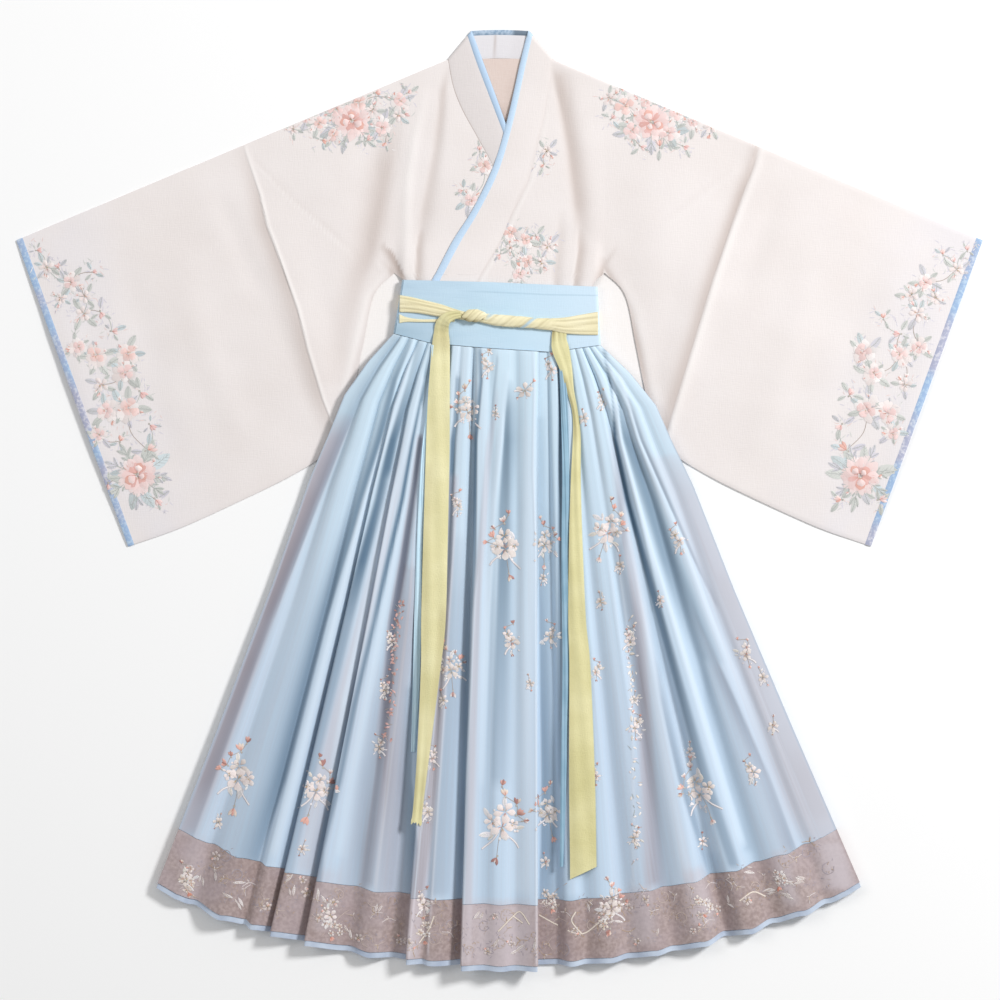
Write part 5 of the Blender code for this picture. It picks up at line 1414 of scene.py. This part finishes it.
def sew_band(surface, material):
    """Slender leaves, thin twigs, rings and small clusters all along the hem band."""
    work = Stitches(33)
    waists, hems = [fold.waist for fold in FOLDS], sorted(fold.hem for fold in FOLDS)
    beige, gold, dusk = (0.56, 0.46, 0.42), (0.50, 0.36, 0.24), (0.40, 0.36, 0.42)
    pale = (0.72, 0.66, 0.66)

    def place(hem, down):
        return tuple(float(value) for value in
                     place_on_skirt(np.interp(hem, hems, waists), hem, down))

    for twig in BAND_TWIGS:
        work.stem(twig, 2.6, beige, 0.15)
        work.stem(twig, 1.4, CREAM, 0.4)
    for x, y in BAND_CLUSTERS:
        work.scatter(x, y, 14, 8, 9, 0.9, (beige, pale), 0.4)
        for _ in range(6):
            work.plum(x + work.near(-11, 11), y + work.near(-5, 15), work.near(3.5, 6),
                      work.near(0, 1), work.pick(beige, pale), work.pick(WHITE, CREAM), SALMON)
        work.bud(x + work.near(-4, 4), y - 9, 7, -1.2, CORAL, SALMON)
        work.stem(((x, y + 8), (x + 10, y + 20), (x + 24, y + 30)), 1.0, beige)
    hem = BAND_START
    while hem < BAND_END:
        x, y = place(hem, work.near(0.90, 0.98))
        kind, turn = work.pick("leaves", "twig", "ring", "smudge", "twig", "blossom"), work.near(0, 6.28)
        if kind == "leaves":
            for _ in range(2 + int(work.near(0, 2))):
                work.leaf(x + work.near(-5, 5), y + work.near(-5, 5), work.near(9, 17),
                          turn + work.near(-0.3, 0.3), pale, WHITE, 0.24, beige)
        elif kind == "twig":
            ends = ((x, y), (x + 11 * math.cos(turn), y + 9 * math.sin(turn)),
                    (x + 20 * math.cos(turn + 0.5), y + 18 * math.sin(turn + 0.5)))
            work.stem(ends, 0.9, work.pick(beige, gold, pale))
            for side in (-0.7, 0.8):
                work.leaf(*ends[1], work.near(4, 8), turn + side, beige, pale, 0.4, gold)
        elif kind == "ring":
            size = work.near(6, 10)
            stops = [(x + size * math.cos(turn + share), y + size * math.sin(turn + share))
                     for share in range(6)]
            work.stem(stops, 1.0, work.pick(beige, dusk), 0.2, 3)
            work.scatter(x, y, size * 0.8, 6, 4, 0.8, (beige, gold), 0.4)
        elif kind == "blossom":
            work.plum(x, y, work.near(4, 6.5), turn, beige, pale, work.pick(SALMON, GOLD))
            work.bud(x + work.near(-9, 9), y + work.near(-9, 9), 4.5, turn, SALMON, BLUSH)
        work.scatter(x, y, 13, 9, 5, 0.8, (beige, gold, dusk, dusk), 0.25, 2)
        hem += work.near(5, 9)
    return work.build("band_embroidery", surface, material)


# peonies, blossoms and buds on the top: place, radius and kind; a twig runs from each to the nearest
# one above it in the table, if that is within reach
TWIG_REACH = 75
Bloom = namedtuple("Bloom", "x y radius kind")
BLOOMS = (
    # the left shoulder
    Bloom(-217, 557, 24, "peony"), Bloom(-211, 582, 14, "rose"), Bloom(-148, 585, 11, "rose"),
    Bloom(-149, 566, 8, "plum"), Bloom(-173, 548, 11, "rose"), Bloom(-243, 575, 12, "rose"),
    Bloom(-242, 537, 10, "rose"), Bloom(-187, 572, 8, "plum"), Bloom(-267, 554, 10, "rose"),
    Bloom(-304, 544, 7, "plum"), Bloom(-284, 560, 7, "bud"), Bloom(-183, 598, 7, "bud"),
    Bloom(-195, 528, 8, "bud"), Bloom(-135, 598, 6, "bud"), Bloom(-261, 528, 6, "bud"),
    Bloom(-168, 525, 6, "bud"),
    # the right shoulder
    Bloom(224, 554, 24, "peony"), Bloom(187, 579, 14, "rose"), Bloom(198, 541, 13, "rose"),
    Bloom(259, 567, 11, "rose"), Bloom(311, 548, 9, "plum"), Bloom(248, 541, 12, "rose"),
    Bloom(215, 587, 10, "rose"), Bloom(283, 554, 9, "rose"), Bloom(162, 589, 9, "plum"),
    Bloom(271, 519, 7, "bud"), Bloom(165, 560, 7, "bud"), Bloom(236, 519, 8, "bud"),
    Bloom(295, 572, 6, "bud"), Bloom(179, 604, 6, "bud"), Bloom(208, 519, 7, "bud"),
    # the left cuff
    Bloom(-533, 35, 25, "peony"), Bloom(-518, 72, 11, "bud"), Bloom(-548, 132, 15, "rose"),
    Bloom(-576, 129, 12, "rose"), Bloom(-549, 212, 13, "rose"), Bloom(-553, 185, 12, "rose"),
    Bloom(-593, 210, 13, "rose"), Bloom(-621, 223, 11, "rose"), Bloom(-612, 273, 10, "plum"),
    Bloom(-611, 298, 9, "plum"), Bloom(-630, 320, 10, "rose"), Bloom(-667, 341, 9, "plum"),
    Bloom(-587, 275, 8, "bud"), Bloom(-528, 157, 9, "bud"), Bloom(-570, 247, 8, "bud"),
    Bloom(-590, 93, 9, "rose"), Bloom(-558, 85, 8, "bud"), Bloom(-506, -1, 9, "bud"),
    Bloom(-576, 22, 8, "bud"), Bloom(-646, 295, 8, "plum"), Bloom(-586, 168, 9, "plum"),
    Bloom(-681, 366, 6, "bud"), Bloom(-649, 340, 6, "bud"), Bloom(-599, 334, 6, "bud"),
    Bloom(-514, 109, 8, "bud"),
    # the right cuff
    Bloom(531, 34, 25, "peony"), Bloom(511, 72, 11, "bud"), Bloom(542, 134, 14, "rose"),
    Bloom(571, 128, 13, "rose"), Bloom(536, 216, 13, "rose"), Bloom(549, 184, 12, "rose"),
    Bloom(590, 212, 12, "rose"), Bloom(617, 225, 11, "rose"), Bloom(615, 273, 10, "plum"),
    Bloom(606, 300, 9, "plum"), Bloom(627, 320, 10, "rose"), Bloom(673, 338, 9, "plum"),
    Bloom(589, 243, 8, "bud"), Bloom(515, 153, 8, "bud"), Bloom(578, 98, 9, "rose"),
    Bloom(596, 168, 9, "plum"), Bloom(503, 109, 8, "bud"), Bloom(559, -1, 9, "bud"),
    Bloom(503, -1, 8, "bud"), Bloom(642, 295, 8, "plum"), Bloom(689, 366, 6, "bud"),
    Bloom(653, 360, 6, "bud"), Bloom(565, 266, 7, "bud"),
    # beside the collar
    Bloom(-21, 492, 10, "rose"), Bloom(-29, 513, 6, "bud"), Bloom(-43, 441, 10, "rose"),
    Bloom(-54, 454, 6, "bud"), Bloom(18, 392, 10, "rose"), Bloom(37, 381, 9, "rose"),
    Bloom(71, 372, 9, "plum"), Bloom(40, 348, 9, "rose"), Bloom(29, 329, 10, "rose"),
    Bloom(54, 387, 6, "bud"), Bloom(1, 360, 6, "bud"), Bloom(62, 348, 7, "plum"),
    Bloom(70, 513, 7, "plum"), Bloom(65, 492, 5, "bud"), Bloom(15, 370, 6, "plum"),
)


def apart(one, other):
    return math.hypot(one.x - other.x, one.y - other.y)


def sew_top(surface, material):
    """Sprays of peonies and roses on sleeves, shoulders and front, their twigs joined."""
    work = Stitches(8)
    counts = {"peony": 8, "rose": 5, "plum": 4, "bud": 3}
    for index, bloom in enumerate(BLOOMS):
        x, y, radius = bloom.x, bloom.y, bloom.radius
        work.scatter(x, y, radius + 12, 22, 8, 1.3, (LILAC, LILAC, LEAF, WHITE, BLUSH), 0.12, 1.5)
        other = min(BLOOMS[:index], key=lambda earlier: apart(bloom, earlier), default=None)
        if other and apart(bloom, other) < TWIG_REACH:
            bend = 0.15 * work.pick(-1, 1)
            middle = ((x + other.x) / 2 + bend * (other.y - y), (y + other.y) / 2 - bend * (other.x - x))
            work.stem(((x, y), middle, (other.x, other.y)), 0.9, work.pick(SAGE, TWIG))
        if bloom.kind == "peony":
            first = work.near(0, 1)
            for step in range(7):
                turn = first + 0.9 * step + work.near(-0.2, 0.2)
                work.frond(x + 0.7 * radius * math.cos(turn), y + 0.7 * radius * math.sin(turn),
                           work.near(26, 38), turn)
        work.leaves(x, y, radius * 0.7, counts[bloom.kind], radius * 1.05 + 6)
    for bloom in BLOOMS:
        turn = work.near(0, 2 * math.pi)
        x, y, radius = bloom.x, bloom.y, bloom.radius
        if bloom.kind == "peony":
            work.peony(x, y, radius * 1.08, turn)
        elif bloom.kind == "rose":
            work.rose(x, y, radius * 1.15, turn)
        elif bloom.kind == "plum":
            work.plum(x, y, radius, turn, BLUSH, WHITE, SALMON)
        else:
            work.bud(x, y, radius * 1.25, turn, work.pick(ROSE, ROSE, SALMON), PETAL)
        if bloom.kind != "bud":
            for _ in range(2):
                turn = work.near(0, 2 * math.pi)
                away = radius * work.near(0.95, 1.3)
                work.bud(x + away * math.cos(turn), y + away * math.sin(turn), work.near(5, 8), turn,
                         work.pick(ROSE, SALMON, BLUSH), WHITE)
    return work.build("top_embroidery", surface, material)


# ---- materials ----------------------------------------------------------------------------------
class Surface:
    """A material built node by node round one Principled shader."""

    def __init__(self, name, roughness, sheen, alpha=1.0, specular=0.3):
        self.material = bpy.data.materials.new(name)
        self.material.use_nodes = True
        self.tree = self.material.node_tree
        self.shader = self.tree.nodes["Principled BSDF"]
        for key, value in (("Roughness", roughness), ("Sheen Weight", sheen), ("Alpha", alpha),
                           ("Specular IOR Level", specular)):
            self.shader.inputs[key].default_value = value

    def node(self, kind, inputs=(), **settings):
        made = self.tree.nodes.new("ShaderNode" + kind)
        for key, value in settings.items():
            setattr(made, key, value)
        for key, value in dict(inputs).items():
            if isinstance(value, bpy.types.NodeSocket):
                self.tree.links.new(value, made.inputs[key])
            else:
                made.inputs[key].default_value = value
        return made

    def value(self, name):
        return self.node("Attribute", attribute_name=name).outputs["Fac"]

    def math(self, operation, first, second=0.5):
        return self.node("Math", {0: first, 1: second}, operation=operation).outputs[0]

    def ramp(self, value, low, high, to_low=0.0, to_high=1.0):
        return self.node("MapRange", {"Value": value, "From Min": low, "From Max": high,
                                      "To Min": to_low, "To Max": to_high}).outputs[0]

    def mixed(self, factor, first, second):
        made = self.node("Mix", {"Factor": factor}, data_type="RGBA")
        for index, value in ((6, first), (7, second)):
            if isinstance(value, bpy.types.NodeSocket):
                self.tree.links.new(value, made.inputs[index])
            else:
                made.inputs[index].default_value = (*value, 1)
        return made.outputs[2]

    def place(self, scale=(1, 1, 1)):
        where = self.node("TexCoord").outputs["Object"]
        return self.node("Mapping", {"Vector": where, "Scale": scale}).outputs[0]

    def noise(self, vector, scale=1.0, detail=2.0):
        return self.node("TexNoise", {"Vector": vector, "Scale": scale, "Detail": detail}).outputs[0]

    def along_folds(self, across, down):
        """A vector that follows the skirt's folds."""
        return self.node("CombineXYZ", {0: self.math("MULTIPLY", self.value("fold"), across),
                                        1: self.math("MULTIPLY", self.value("down"), down)}).outputs[0]

    def weave(self, pitch, slub):
        """Height of a plain weave, in two directions, with thicker yarns here and there."""
        fine, run = 1 / pitch, 1 / slub
        warp = self.noise(self.place((fine, run, fine)), 1.0, 1.0)
        weft = self.noise(self.place((run, fine, fine)), 1.0, 1.0)
        return self.math("ADD", warp, weft)

    def finish(self, colour, height, strength, distance):
        self.tree.links.new(colour, self.shader.inputs["Base Color"])
        bump = self.node("Bump", {"Height": height, "Strength": strength, "Distance": distance})
        self.tree.links.new(bump.outputs[0], self.shader.inputs["Normal"])
        return self.material


def ivory_cloth(name="ivory_cloth_look", hazy=False):
    """Linen-like ivory with slubs; inside it is warmer, a warm tone deepened by painted shade, and in its
    embroidered borders cooler; painted shade and highlight follow its creases.
    """
    cloth = Surface(name, 0.88, sheen=0.15)
    weave = cloth.weave(0.0011, 0.012)
    clouds = cloth.noise(cloth.place(), 9.0, 3.0)
    colour = cloth.mixed(cloth.ramp(clouds, 0.35, 0.65), (0.845, 0.79, 0.775), (0.815, 0.755, 0.735))
    if hazy:
        haze = cloth.math("MULTIPLY", cloth.ramp(cloth.value("out"), 0.52, 0.85),
                          cloth.ramp(cloth.noise(cloth.place(), 14.0, 3.0), 0.35, 0.6, 0.25, 0.7))
        colour = cloth.mixed(haze, colour, (0.80, 0.77, 0.80))
    # painted shade on the inside seen in the neck, over its warmer tone
    colour = cloth.mixed(cloth.math("MULTIPLY", cloth.value("inner"), 0.85), colour, (0.70, 0.56, 0.50))
    # painted shade on the under collar
    colour = cloth.mixed(cloth.value("under"), colour, (0.72, 0.67, 0.66))
    colour = cloth.mixed(cloth.math("MULTIPLY", cloth.value("behind"), 0.8), colour, (0.74, 0.73, 0.77))
    colour = cloth.mixed(cloth.ramp(weave, 0.75, 1.25, 0.0, 0.10), colour, (0.93, 0.89, 0.87))
    # painted shade in the troughs, creases and the neck
    colour = cloth.mixed(cloth.value("depth"), colour, (0.36, 0.26, 0.21))
    # painted highlight on the ridges, and painted light on the back layer
    colour = cloth.mixed(cloth.value("edge"), colour, (0.95, 0.92, 0.90))
    return cloth.finish(colour, weave, 0.35, 0.0006)


def piping_cloth():
    """Blue binding: greyer on the under side with painted shade, slate behind the neck, where it shows its
    inside, darkening with painted shade towards the right.
    """
    cloth = Surface("blue_piping_look", 0.6, sheen=0.2)
    weave = cloth.weave(0.0008, 0.006)
    spots = cloth.ramp(cloth.noise(cloth.place(), 260.0, 2.0), 0.35, 0.65)
    colour = cloth.mixed(cloth.ramp(weave, 0.7, 1.3), (0.50, 0.66, 0.84), (0.58, 0.73, 0.90))
    # painted shade on the binding of the under collar
    colour = cloth.mixed(cloth.math("MULTIPLY", cloth.value("under"), 0.6), colour, (0.42, 0.57, 0.76))
    slate = cloth.mixed(spots, (0.22, 0.33, 0.46), (0.44, 0.54, 0.66))
    # painted shade at the right end of the back binding, beside the collar
    slate = cloth.mixed(cloth.ramp(cloth.value("away"), 0.82, 0.95), slate, (0.12, 0.16, 0.21))
    colour = cloth.mixed(cloth.math("MULTIPLY", cloth.value("behind"), 0.9), colour, slate)
    return cloth.finish(colour, weave, 0.3, 0.0004)


def cuff_cloth():
    """The cuffs' binding: a mottled brocade, lavender grey in some stretches, light blue in others."""
    cloth = Surface("cuff_brocade_look", 0.55, sheen=0.2)
    stretches = cloth.ramp(cloth.noise(cloth.place(), 11.0, 1.0), 0.42, 0.58)
    patches = cloth.noise(cloth.place(), 230.0, 2.0)
    weave = cloth.weave(0.0009, 0.004)
    ground = cloth.mixed(stretches, (0.34, 0.48, 0.70), (0.42, 0.44, 0.58))
    marks = cloth.mixed(stretches, (0.48, 0.62, 0.78), (0.66, 0.66, 0.74))
    colour = cloth.mixed(cloth.ramp(patches, 0.45, 0.66), ground, marks)
    return cloth.finish(colour, cloth.math("ADD", patches, weave), 0.35, 0.0004)


def lining_cloth():
    """Light blue lining, with painted shade in the valleys and faint streaks along the folds."""
    cloth = Surface("blue_lining_look", 0.62, sheen=0.25, specular=0.35)
    streaks = cloth.noise(cloth.along_folds(5.0, 3.0), 1.0, 3.0)
    colour = cloth.mixed(cloth.ramp(streaks, 0.3, 0.7), (0.54, 0.75, 0.95), (0.61, 0.80, 0.98))
    # painted shade in the valleys and along the streams' dark lines
    colour = cloth.mixed(cloth.value("depth"), colour, (0.10, 0.24, 0.34))
    return cloth.finish(colour, cloth.weave(0.0008, 0.008), 0.25, 0.0004)


def waistband_cloth():
    """Blue band: painted shade makes it greyer at the left and low down, painted light makes it lighter at
    the right, with a stitched line below its upper edge.
    """
    cloth = Surface("waistband_look", 0.75, sheen=0.2)
    clouds = cloth.noise(cloth.place((6, 30, 6)), 3.0, 3.0)
    weave = cloth.weave(0.0010, 0.014)
    away, down = cloth.value("away"), cloth.value("down")
    # painted light across the band: darker at the left, lighter at the right
    colour = cloth.mixed(cloth.ramp(away, 0.0, 0.65), (0.46, 0.61, 0.74), (0.55, 0.74, 0.88))
    colour = cloth.mixed(cloth.ramp(away, 0.55, 1.0), colour, (0.64, 0.79, 0.92))
    colour = cloth.mixed(cloth.ramp(clouds, 0.3, 0.7, 0.0, 0.3), colour, (0.64, 0.80, 0.92))
    # painted shade low down at the left
    low_left = cloth.math("MULTIPLY", cloth.ramp(down, 0.6, 0.9), cloth.ramp(away, 0.35, 0.0))
    colour = cloth.mixed(cloth.math("MULTIPLY", low_left, 0.6), colour, (0.32, 0.46, 0.56))
    line = cloth.math("ABSOLUTE", cloth.math("SUBTRACT", down, 0.15))
    line = cloth.math("MULTIPLY", cloth.ramp(line, 0.016, 0.006), cloth.ramp(away, 0.30, 0.45))
    colour = cloth.mixed(cloth.math("MULTIPLY", line, 0.35), colour, (0.34, 0.50, 0.62))
    return cloth.finish(colour, weave, 0.35, 0.0005)


def organza():
    """Sheer organza: lavender grey where it lies dense, with painted shade in its valleys and painted
    highlights along its pleats' edges.
    """
    cloth = Surface("sheer_overlay_look", 0.5, sheen=0.3, alpha=0.85, specular=0.3)
    streaks = cloth.noise(cloth.along_folds(9.0, 4.0), 1.0, 3.0)
    veil = cloth.math("ADD", cloth.value("veil"), cloth.ramp(streaks, 0.3, 0.7, -0.12, 0.12))
    colour = cloth.mixed(cloth.ramp(cloth.value("down"), 0.05, 0.6), (0.70, 0.875, 1.0), (0.64, 0.79, 0.95))
    colour = cloth.mixed(cloth.ramp(veil, 0.0, 1.0), colour, (0.62, 0.60, 0.67))
    colour = cloth.mixed(cloth.ramp(veil, 1.0, 1.3), colour, (0.50, 0.43, 0.46))
    # painted shade in the valleys
    colour = cloth.mixed(cloth.value("depth"), colour, (0.02, 0.10, 0.20))
    # painted highlight on the crests
    colour = cloth.mixed(cloth.value("edge"), colour, (0.76, 0.88, 1.0))
    return cloth.finish(colour, cloth.weave(0.0007, 0.02), 0.2, 0.0003)


def band_cloth():
    """The taupe hem band under organza: a fine woven figure, shot with beige and lavender."""
    cloth = Surface("taupe_band_look", 0.6, sheen=0.3)
    figure = cloth.noise(cloth.place(), 190.0, 4.0)
    clouds = cloth.noise(cloth.place(), 24.0, 3.0)
    veil = cloth.value("veil")
    colour = cloth.mixed(cloth.ramp(figure, 0.38, 0.64), (0.32, 0.24, 0.222), (0.46, 0.365, 0.345))
    colour = cloth.mixed(cloth.ramp(clouds, 0.3, 0.7, 0.0, 0.5), colour, (0.43, 0.35, 0.385))
    colour = cloth.mixed(cloth.math("MULTIPLY", veil, 0.62), colour, (0.60, 0.54, 0.58))
    # painted shade in the band's valleys
    colour = cloth.mixed(cloth.math("MULTIPLY", cloth.value("depth"), 0.4), colour, (0.22, 0.13, 0.11))
    # painted highlight on its crests
    colour = cloth.mixed(cloth.math("MULTIPLY", cloth.value("edge"), 0.7), colour, (0.76, 0.70, 0.74))
    return cloth.finish(colour, cloth.math("ADD", figure, cloth.weave(0.0008, 0.01)), 0.35, 0.0004)


def plain_cloth(name, low, high, pitch=0.0009):
    """An even cloth between two tints, in soft clouds over its weave."""
    cloth = Surface(name, 0.5, sheen=0.2)
    weave = cloth.weave(pitch, 0.01)
    clouds = cloth.noise(cloth.place(), 40.0, 3.0)
    colour = cloth.mixed(cloth.ramp(clouds, 0.3, 0.7), low, high)
    return cloth.finish(colour, weave, 0.3, 0.0004)


def satin(name, low, high):
    """Soft satin with fine creases along the ribbon, where a blue strip may be twisted in."""
    cloth = Surface(name, 0.42, sheen=0.25, specular=0.4)
    creases = cloth.noise(cloth.place((14, 90, 60)), 1.0, 4.0)
    clouds = cloth.noise(cloth.place(), 18.0, 2.0)
    colour = cloth.mixed(cloth.ramp(clouds, 0.3, 0.7), low, high)
    colour = cloth.mixed(cloth.value("blue"), colour, (0.52, 0.68, 0.76))
    # painted shade in grooves, creases, the knot's underside and the tails' shaded stretches
    colour = cloth.mixed(cloth.value("depth"), colour, (0.30, 0.22, 0.07))
    return cloth.finish(colour, cloth.math("ADD", creases, cloth.weave(0.0007, 0.006)), 0.4, 0.0010)


def thread():
    """Satin-stitch thread: the stitch's own colour, ribbed across each petal."""
    cloth = Surface("embroidery_thread_look", 0.45, sheen=0.3, specular=0.45)
    colour = cloth.node("Attribute", attribute_name="stitch").outputs["Color"]
    ribs = cloth.math("SINE", cloth.math("MULTIPLY", cloth.value("thread"), 9.0))
    ribs = cloth.ramp(ribs, -1.0, 1.0)
    # painted shade between the ribs
    colour = cloth.mixed(cloth.math("MULTIPLY", cloth.math("SUBTRACT", 1.0, ribs), 0.12), colour,
                         (0.45, 0.30, 0.25))
    return cloth.finish(colour, ribs, 0.4, 0.0003)


# ---- making -------------------------------------------------------------------------------------
ivory, sleeve_ivory = ivory_cloth(), ivory_cloth("ivory_sleeve_look", hazy=True)
piping_blue, cuff_blue = piping_cloth(), cuff_cloth()
lining_blue, waist_blue, sheer, taupe = lining_cloth(), waistband_cloth(), organza(), band_cloth()
hem_blue = plain_cloth("hem_binding_look", (0.40, 0.47, 0.60), (0.56, 0.64, 0.76), 0.0016)
# one tie blue in two copies: a lighter copy with painted light for the left tie, a darker copy with painted
# shade for the right
tie_blue = plain_cloth("blue_tie_look", (0.60, 0.83, 0.97), (0.67, 0.88, 1.0))
shaded_tie_blue = plain_cloth("blue_shaded_tie_look", (0.25, 0.43, 0.56), (0.33, 0.51, 0.64))
# one yellow satin in lit and shaded copies: painted light on the belt and the left tail, painted shade on the
# right tail
yellow = satin("yellow_belt_look", (0.83, 0.75, 0.46), (0.93, 0.86, 0.60))
tail_yellow = satin("yellow_tail_look", (0.68, 0.63, 0.31), (0.80, 0.75, 0.42))
lit_tail_yellow = satin("yellow_lit_tail_look", (0.74, 0.69, 0.37), (0.86, 0.81, 0.49))
silk_thread = thread()

pieces = {}
pieces["body_left"] = body_half(-1, "body_left_cloth", ivory)
pieces["body_right"] = body_half(1, "body_right_cloth", ivory)
cuff_start = 1 - CUFF_BAND / (CUFF_X - SLEEVE_SEAM_X)
for side, name in ((-1, "left"), (1, "right")):
    pieces["sleeve_" + name] = sleeve_stretch(side, 0, cuff_start, 80,
                                              f"sleeve_{name}_cloth", sleeve_ivory)
    pieces["cuff_" + name] = sleeve_stretch(side, cuff_start, 1, 8, f"cuff_{name}_cloth", cuff_blue, 0.7)
pieces["collar"] = collar_strip(PIPING, 1, "collar_cloth", ivory, 0.7, 13)
pieces["collar_piping"] = collar_strip(0, PIPING, "collar_piping_cloth", piping_blue, 1.3, 7)

hem_gap = 2 * SEAM / SKIRT_LENGTH
pieces["skirt_lining"] = skirt_sheet("skirt_lining_cloth", 0, BAND_FOOT, SKIRT_ROWS, 0, lining_blue)
pieces["skirt_overlay"] = skirt_sheet("skirt_overlay_cloth", 0, BAND_TOP, SKIRT_ROWS, LAYER, sheer, 0.4)
pieces["hem_band"] = skirt_sheet("hem_band_cloth", BAND_TOP + hem_gap, BAND_FOOT, 14, LAYER, taupe)
pieces["hem_binding"] = skirt_sheet("hem_binding_cloth", BAND_FOOT + hem_gap, 1, 5, 0, hem_blue, 1.4)
pieces["waistband"] = waistband(waist_blue)
pieces["belt_wrap"] = belt_wrap(yellow)
pieces["belt_second_strand"] = second_strand(yellow)
pieces["belt_knot"] = knot(yellow)

front_pieces = [pieces[name] for name in ("skirt_overlay", "hem_band", "waistband", "belt_second_strand")]
under_belt, over_belt = surface_of(front_pieces), surface_of(front_pieces + [pieces["belt_wrap"]])
pieces["waist_tie_left"] = ribbon("waist_tie_left_cloth", TIE_LEFT, under_belt, 1.2, tie_blue)
pieces["waist_tie_right"] = ribbon("waist_tie_right_cloth", TIE_RIGHT, under_belt, 1.2,
                                   shaded_tie_blue)
pieces["belt_tail_left"] = ribbon(
    "belt_tail_left_cloth", TAIL_LEFT, over_belt, 1.2, lit_tail_yellow, ragged=5,
    shades=((262, 205, -1.4, 1.4, 0.30), (60, -480, -1.3, -0.4, 0.16), (-150, -480, 0.3, 1.3, 0.2)))
pieces["belt_tail_right"] = ribbon(
    "belt_tail_right_cloth", TAIL_RIGHT, under_belt, 2.0, tail_yellow, TAIL_RIGHT_SLANT,
    shades=((262, 225, -1.4, -0.5, 0.6), (190, 70, -1.4, 0.4, 0.28), (20, -560, -1.3, -0.5, 0.12)))

skirt_surface = surface_of([pieces[name] for name in ("skirt_overlay", "hem_band")])
top_surface = surface_of([pieces[name] for name in ("body_left", "body_right", "sleeve_left",
                                                    "sleeve_right", "cuff_left", "cuff_right")])
skirt_flowers = sew_skirt(skirt_surface, silk_thread)
band_flowers = sew_band(skirt_surface, silk_thread)
top_flowers = sew_top(top_surface, silk_thread)

for node, piece in pieces.items():
    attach(piece, "root")
    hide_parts(node)
for piece, slot in ((skirt_flowers, "sheer_overlay"), (band_flowers, "taupe_band"),
                    (top_flowers, "ivory_cloth")):
    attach(piece, "root")

# what shows of each piece, all round where it is a tube: its flat size and, where that isn't a
# rectangle, its area, in metres, how it is held, and the pieces that it rests on
Cut = namedtuple("Cut", "flat held area rests_on")

# ---- floor, light and camera --------------------------------------------------------------------
FLOOR_SIZE = 30                 # metres
STUDIO_STRENGTH = 0.42
bpy.ops.mesh.primitive_plane_add(size=FLOOR_SIZE)
floor = bpy.context.object
floor.name = "floor"
paper = bpy.data.materials.new("floor_paper")
paper.use_nodes = True
paper.node_tree.nodes["Principled BSDF"].inputs["Base Color"].default_value = (0.97, 0.97, 0.97, 1)
paper.node_tree.nodes["Principled BSDF"].inputs["Roughness"].default_value = 0.9
floor.data.materials.append(paper)


def area_light(name, place, size, power):
    light = bpy.data.lights.new(name, "AREA")
    light.shape, light.size, light.energy = "DISK", size, power
    thing = bpy.data.objects.new(name, light)
    thing.location = place
    thing.rotation_euler = (-Vector(place)).to_track_quat("-Z", "Y").to_euler()
    bpy.context.scene.collection.objects.link(thing)


area_light("key", (4.2, 2.6, 4.0), 1.4, 325)
area_light("fill", (-3.0, 1.2, 3.2), 2.2, 28)
world = bpy.data.worlds.new("studio")
world.use_nodes = True
world.node_tree.nodes["Background"].inputs["Color"].default_value = (1, 1, 1, 1)
world.node_tree.nodes["Background"].inputs["Strength"].default_value = STUDIO_STRENGTH
bpy.context.scene.world = world
bpy.context.scene.view_settings.view_transform = "Standard"

PICTURE_WIDTH = 1.47            # metres across that the picture takes in
AIM_X, AIM_Y = 0.0007, -0.0015
AIM_HEIGHT = 0.012              # of the cloth that has that width, above the floor
lens = bpy.data.cameras.new("camera")
lens.lens, lens.sensor_width = 150, 36
camera = bpy.data.objects.new("camera", lens)
camera.location = (AIM_X, AIM_Y, PICTURE_WIDTH * lens.lens / lens.sensor_width + AIM_HEIGHT)
bpy.context.scene.collection.objects.link(camera)
bpy.context.scene.camera = camera
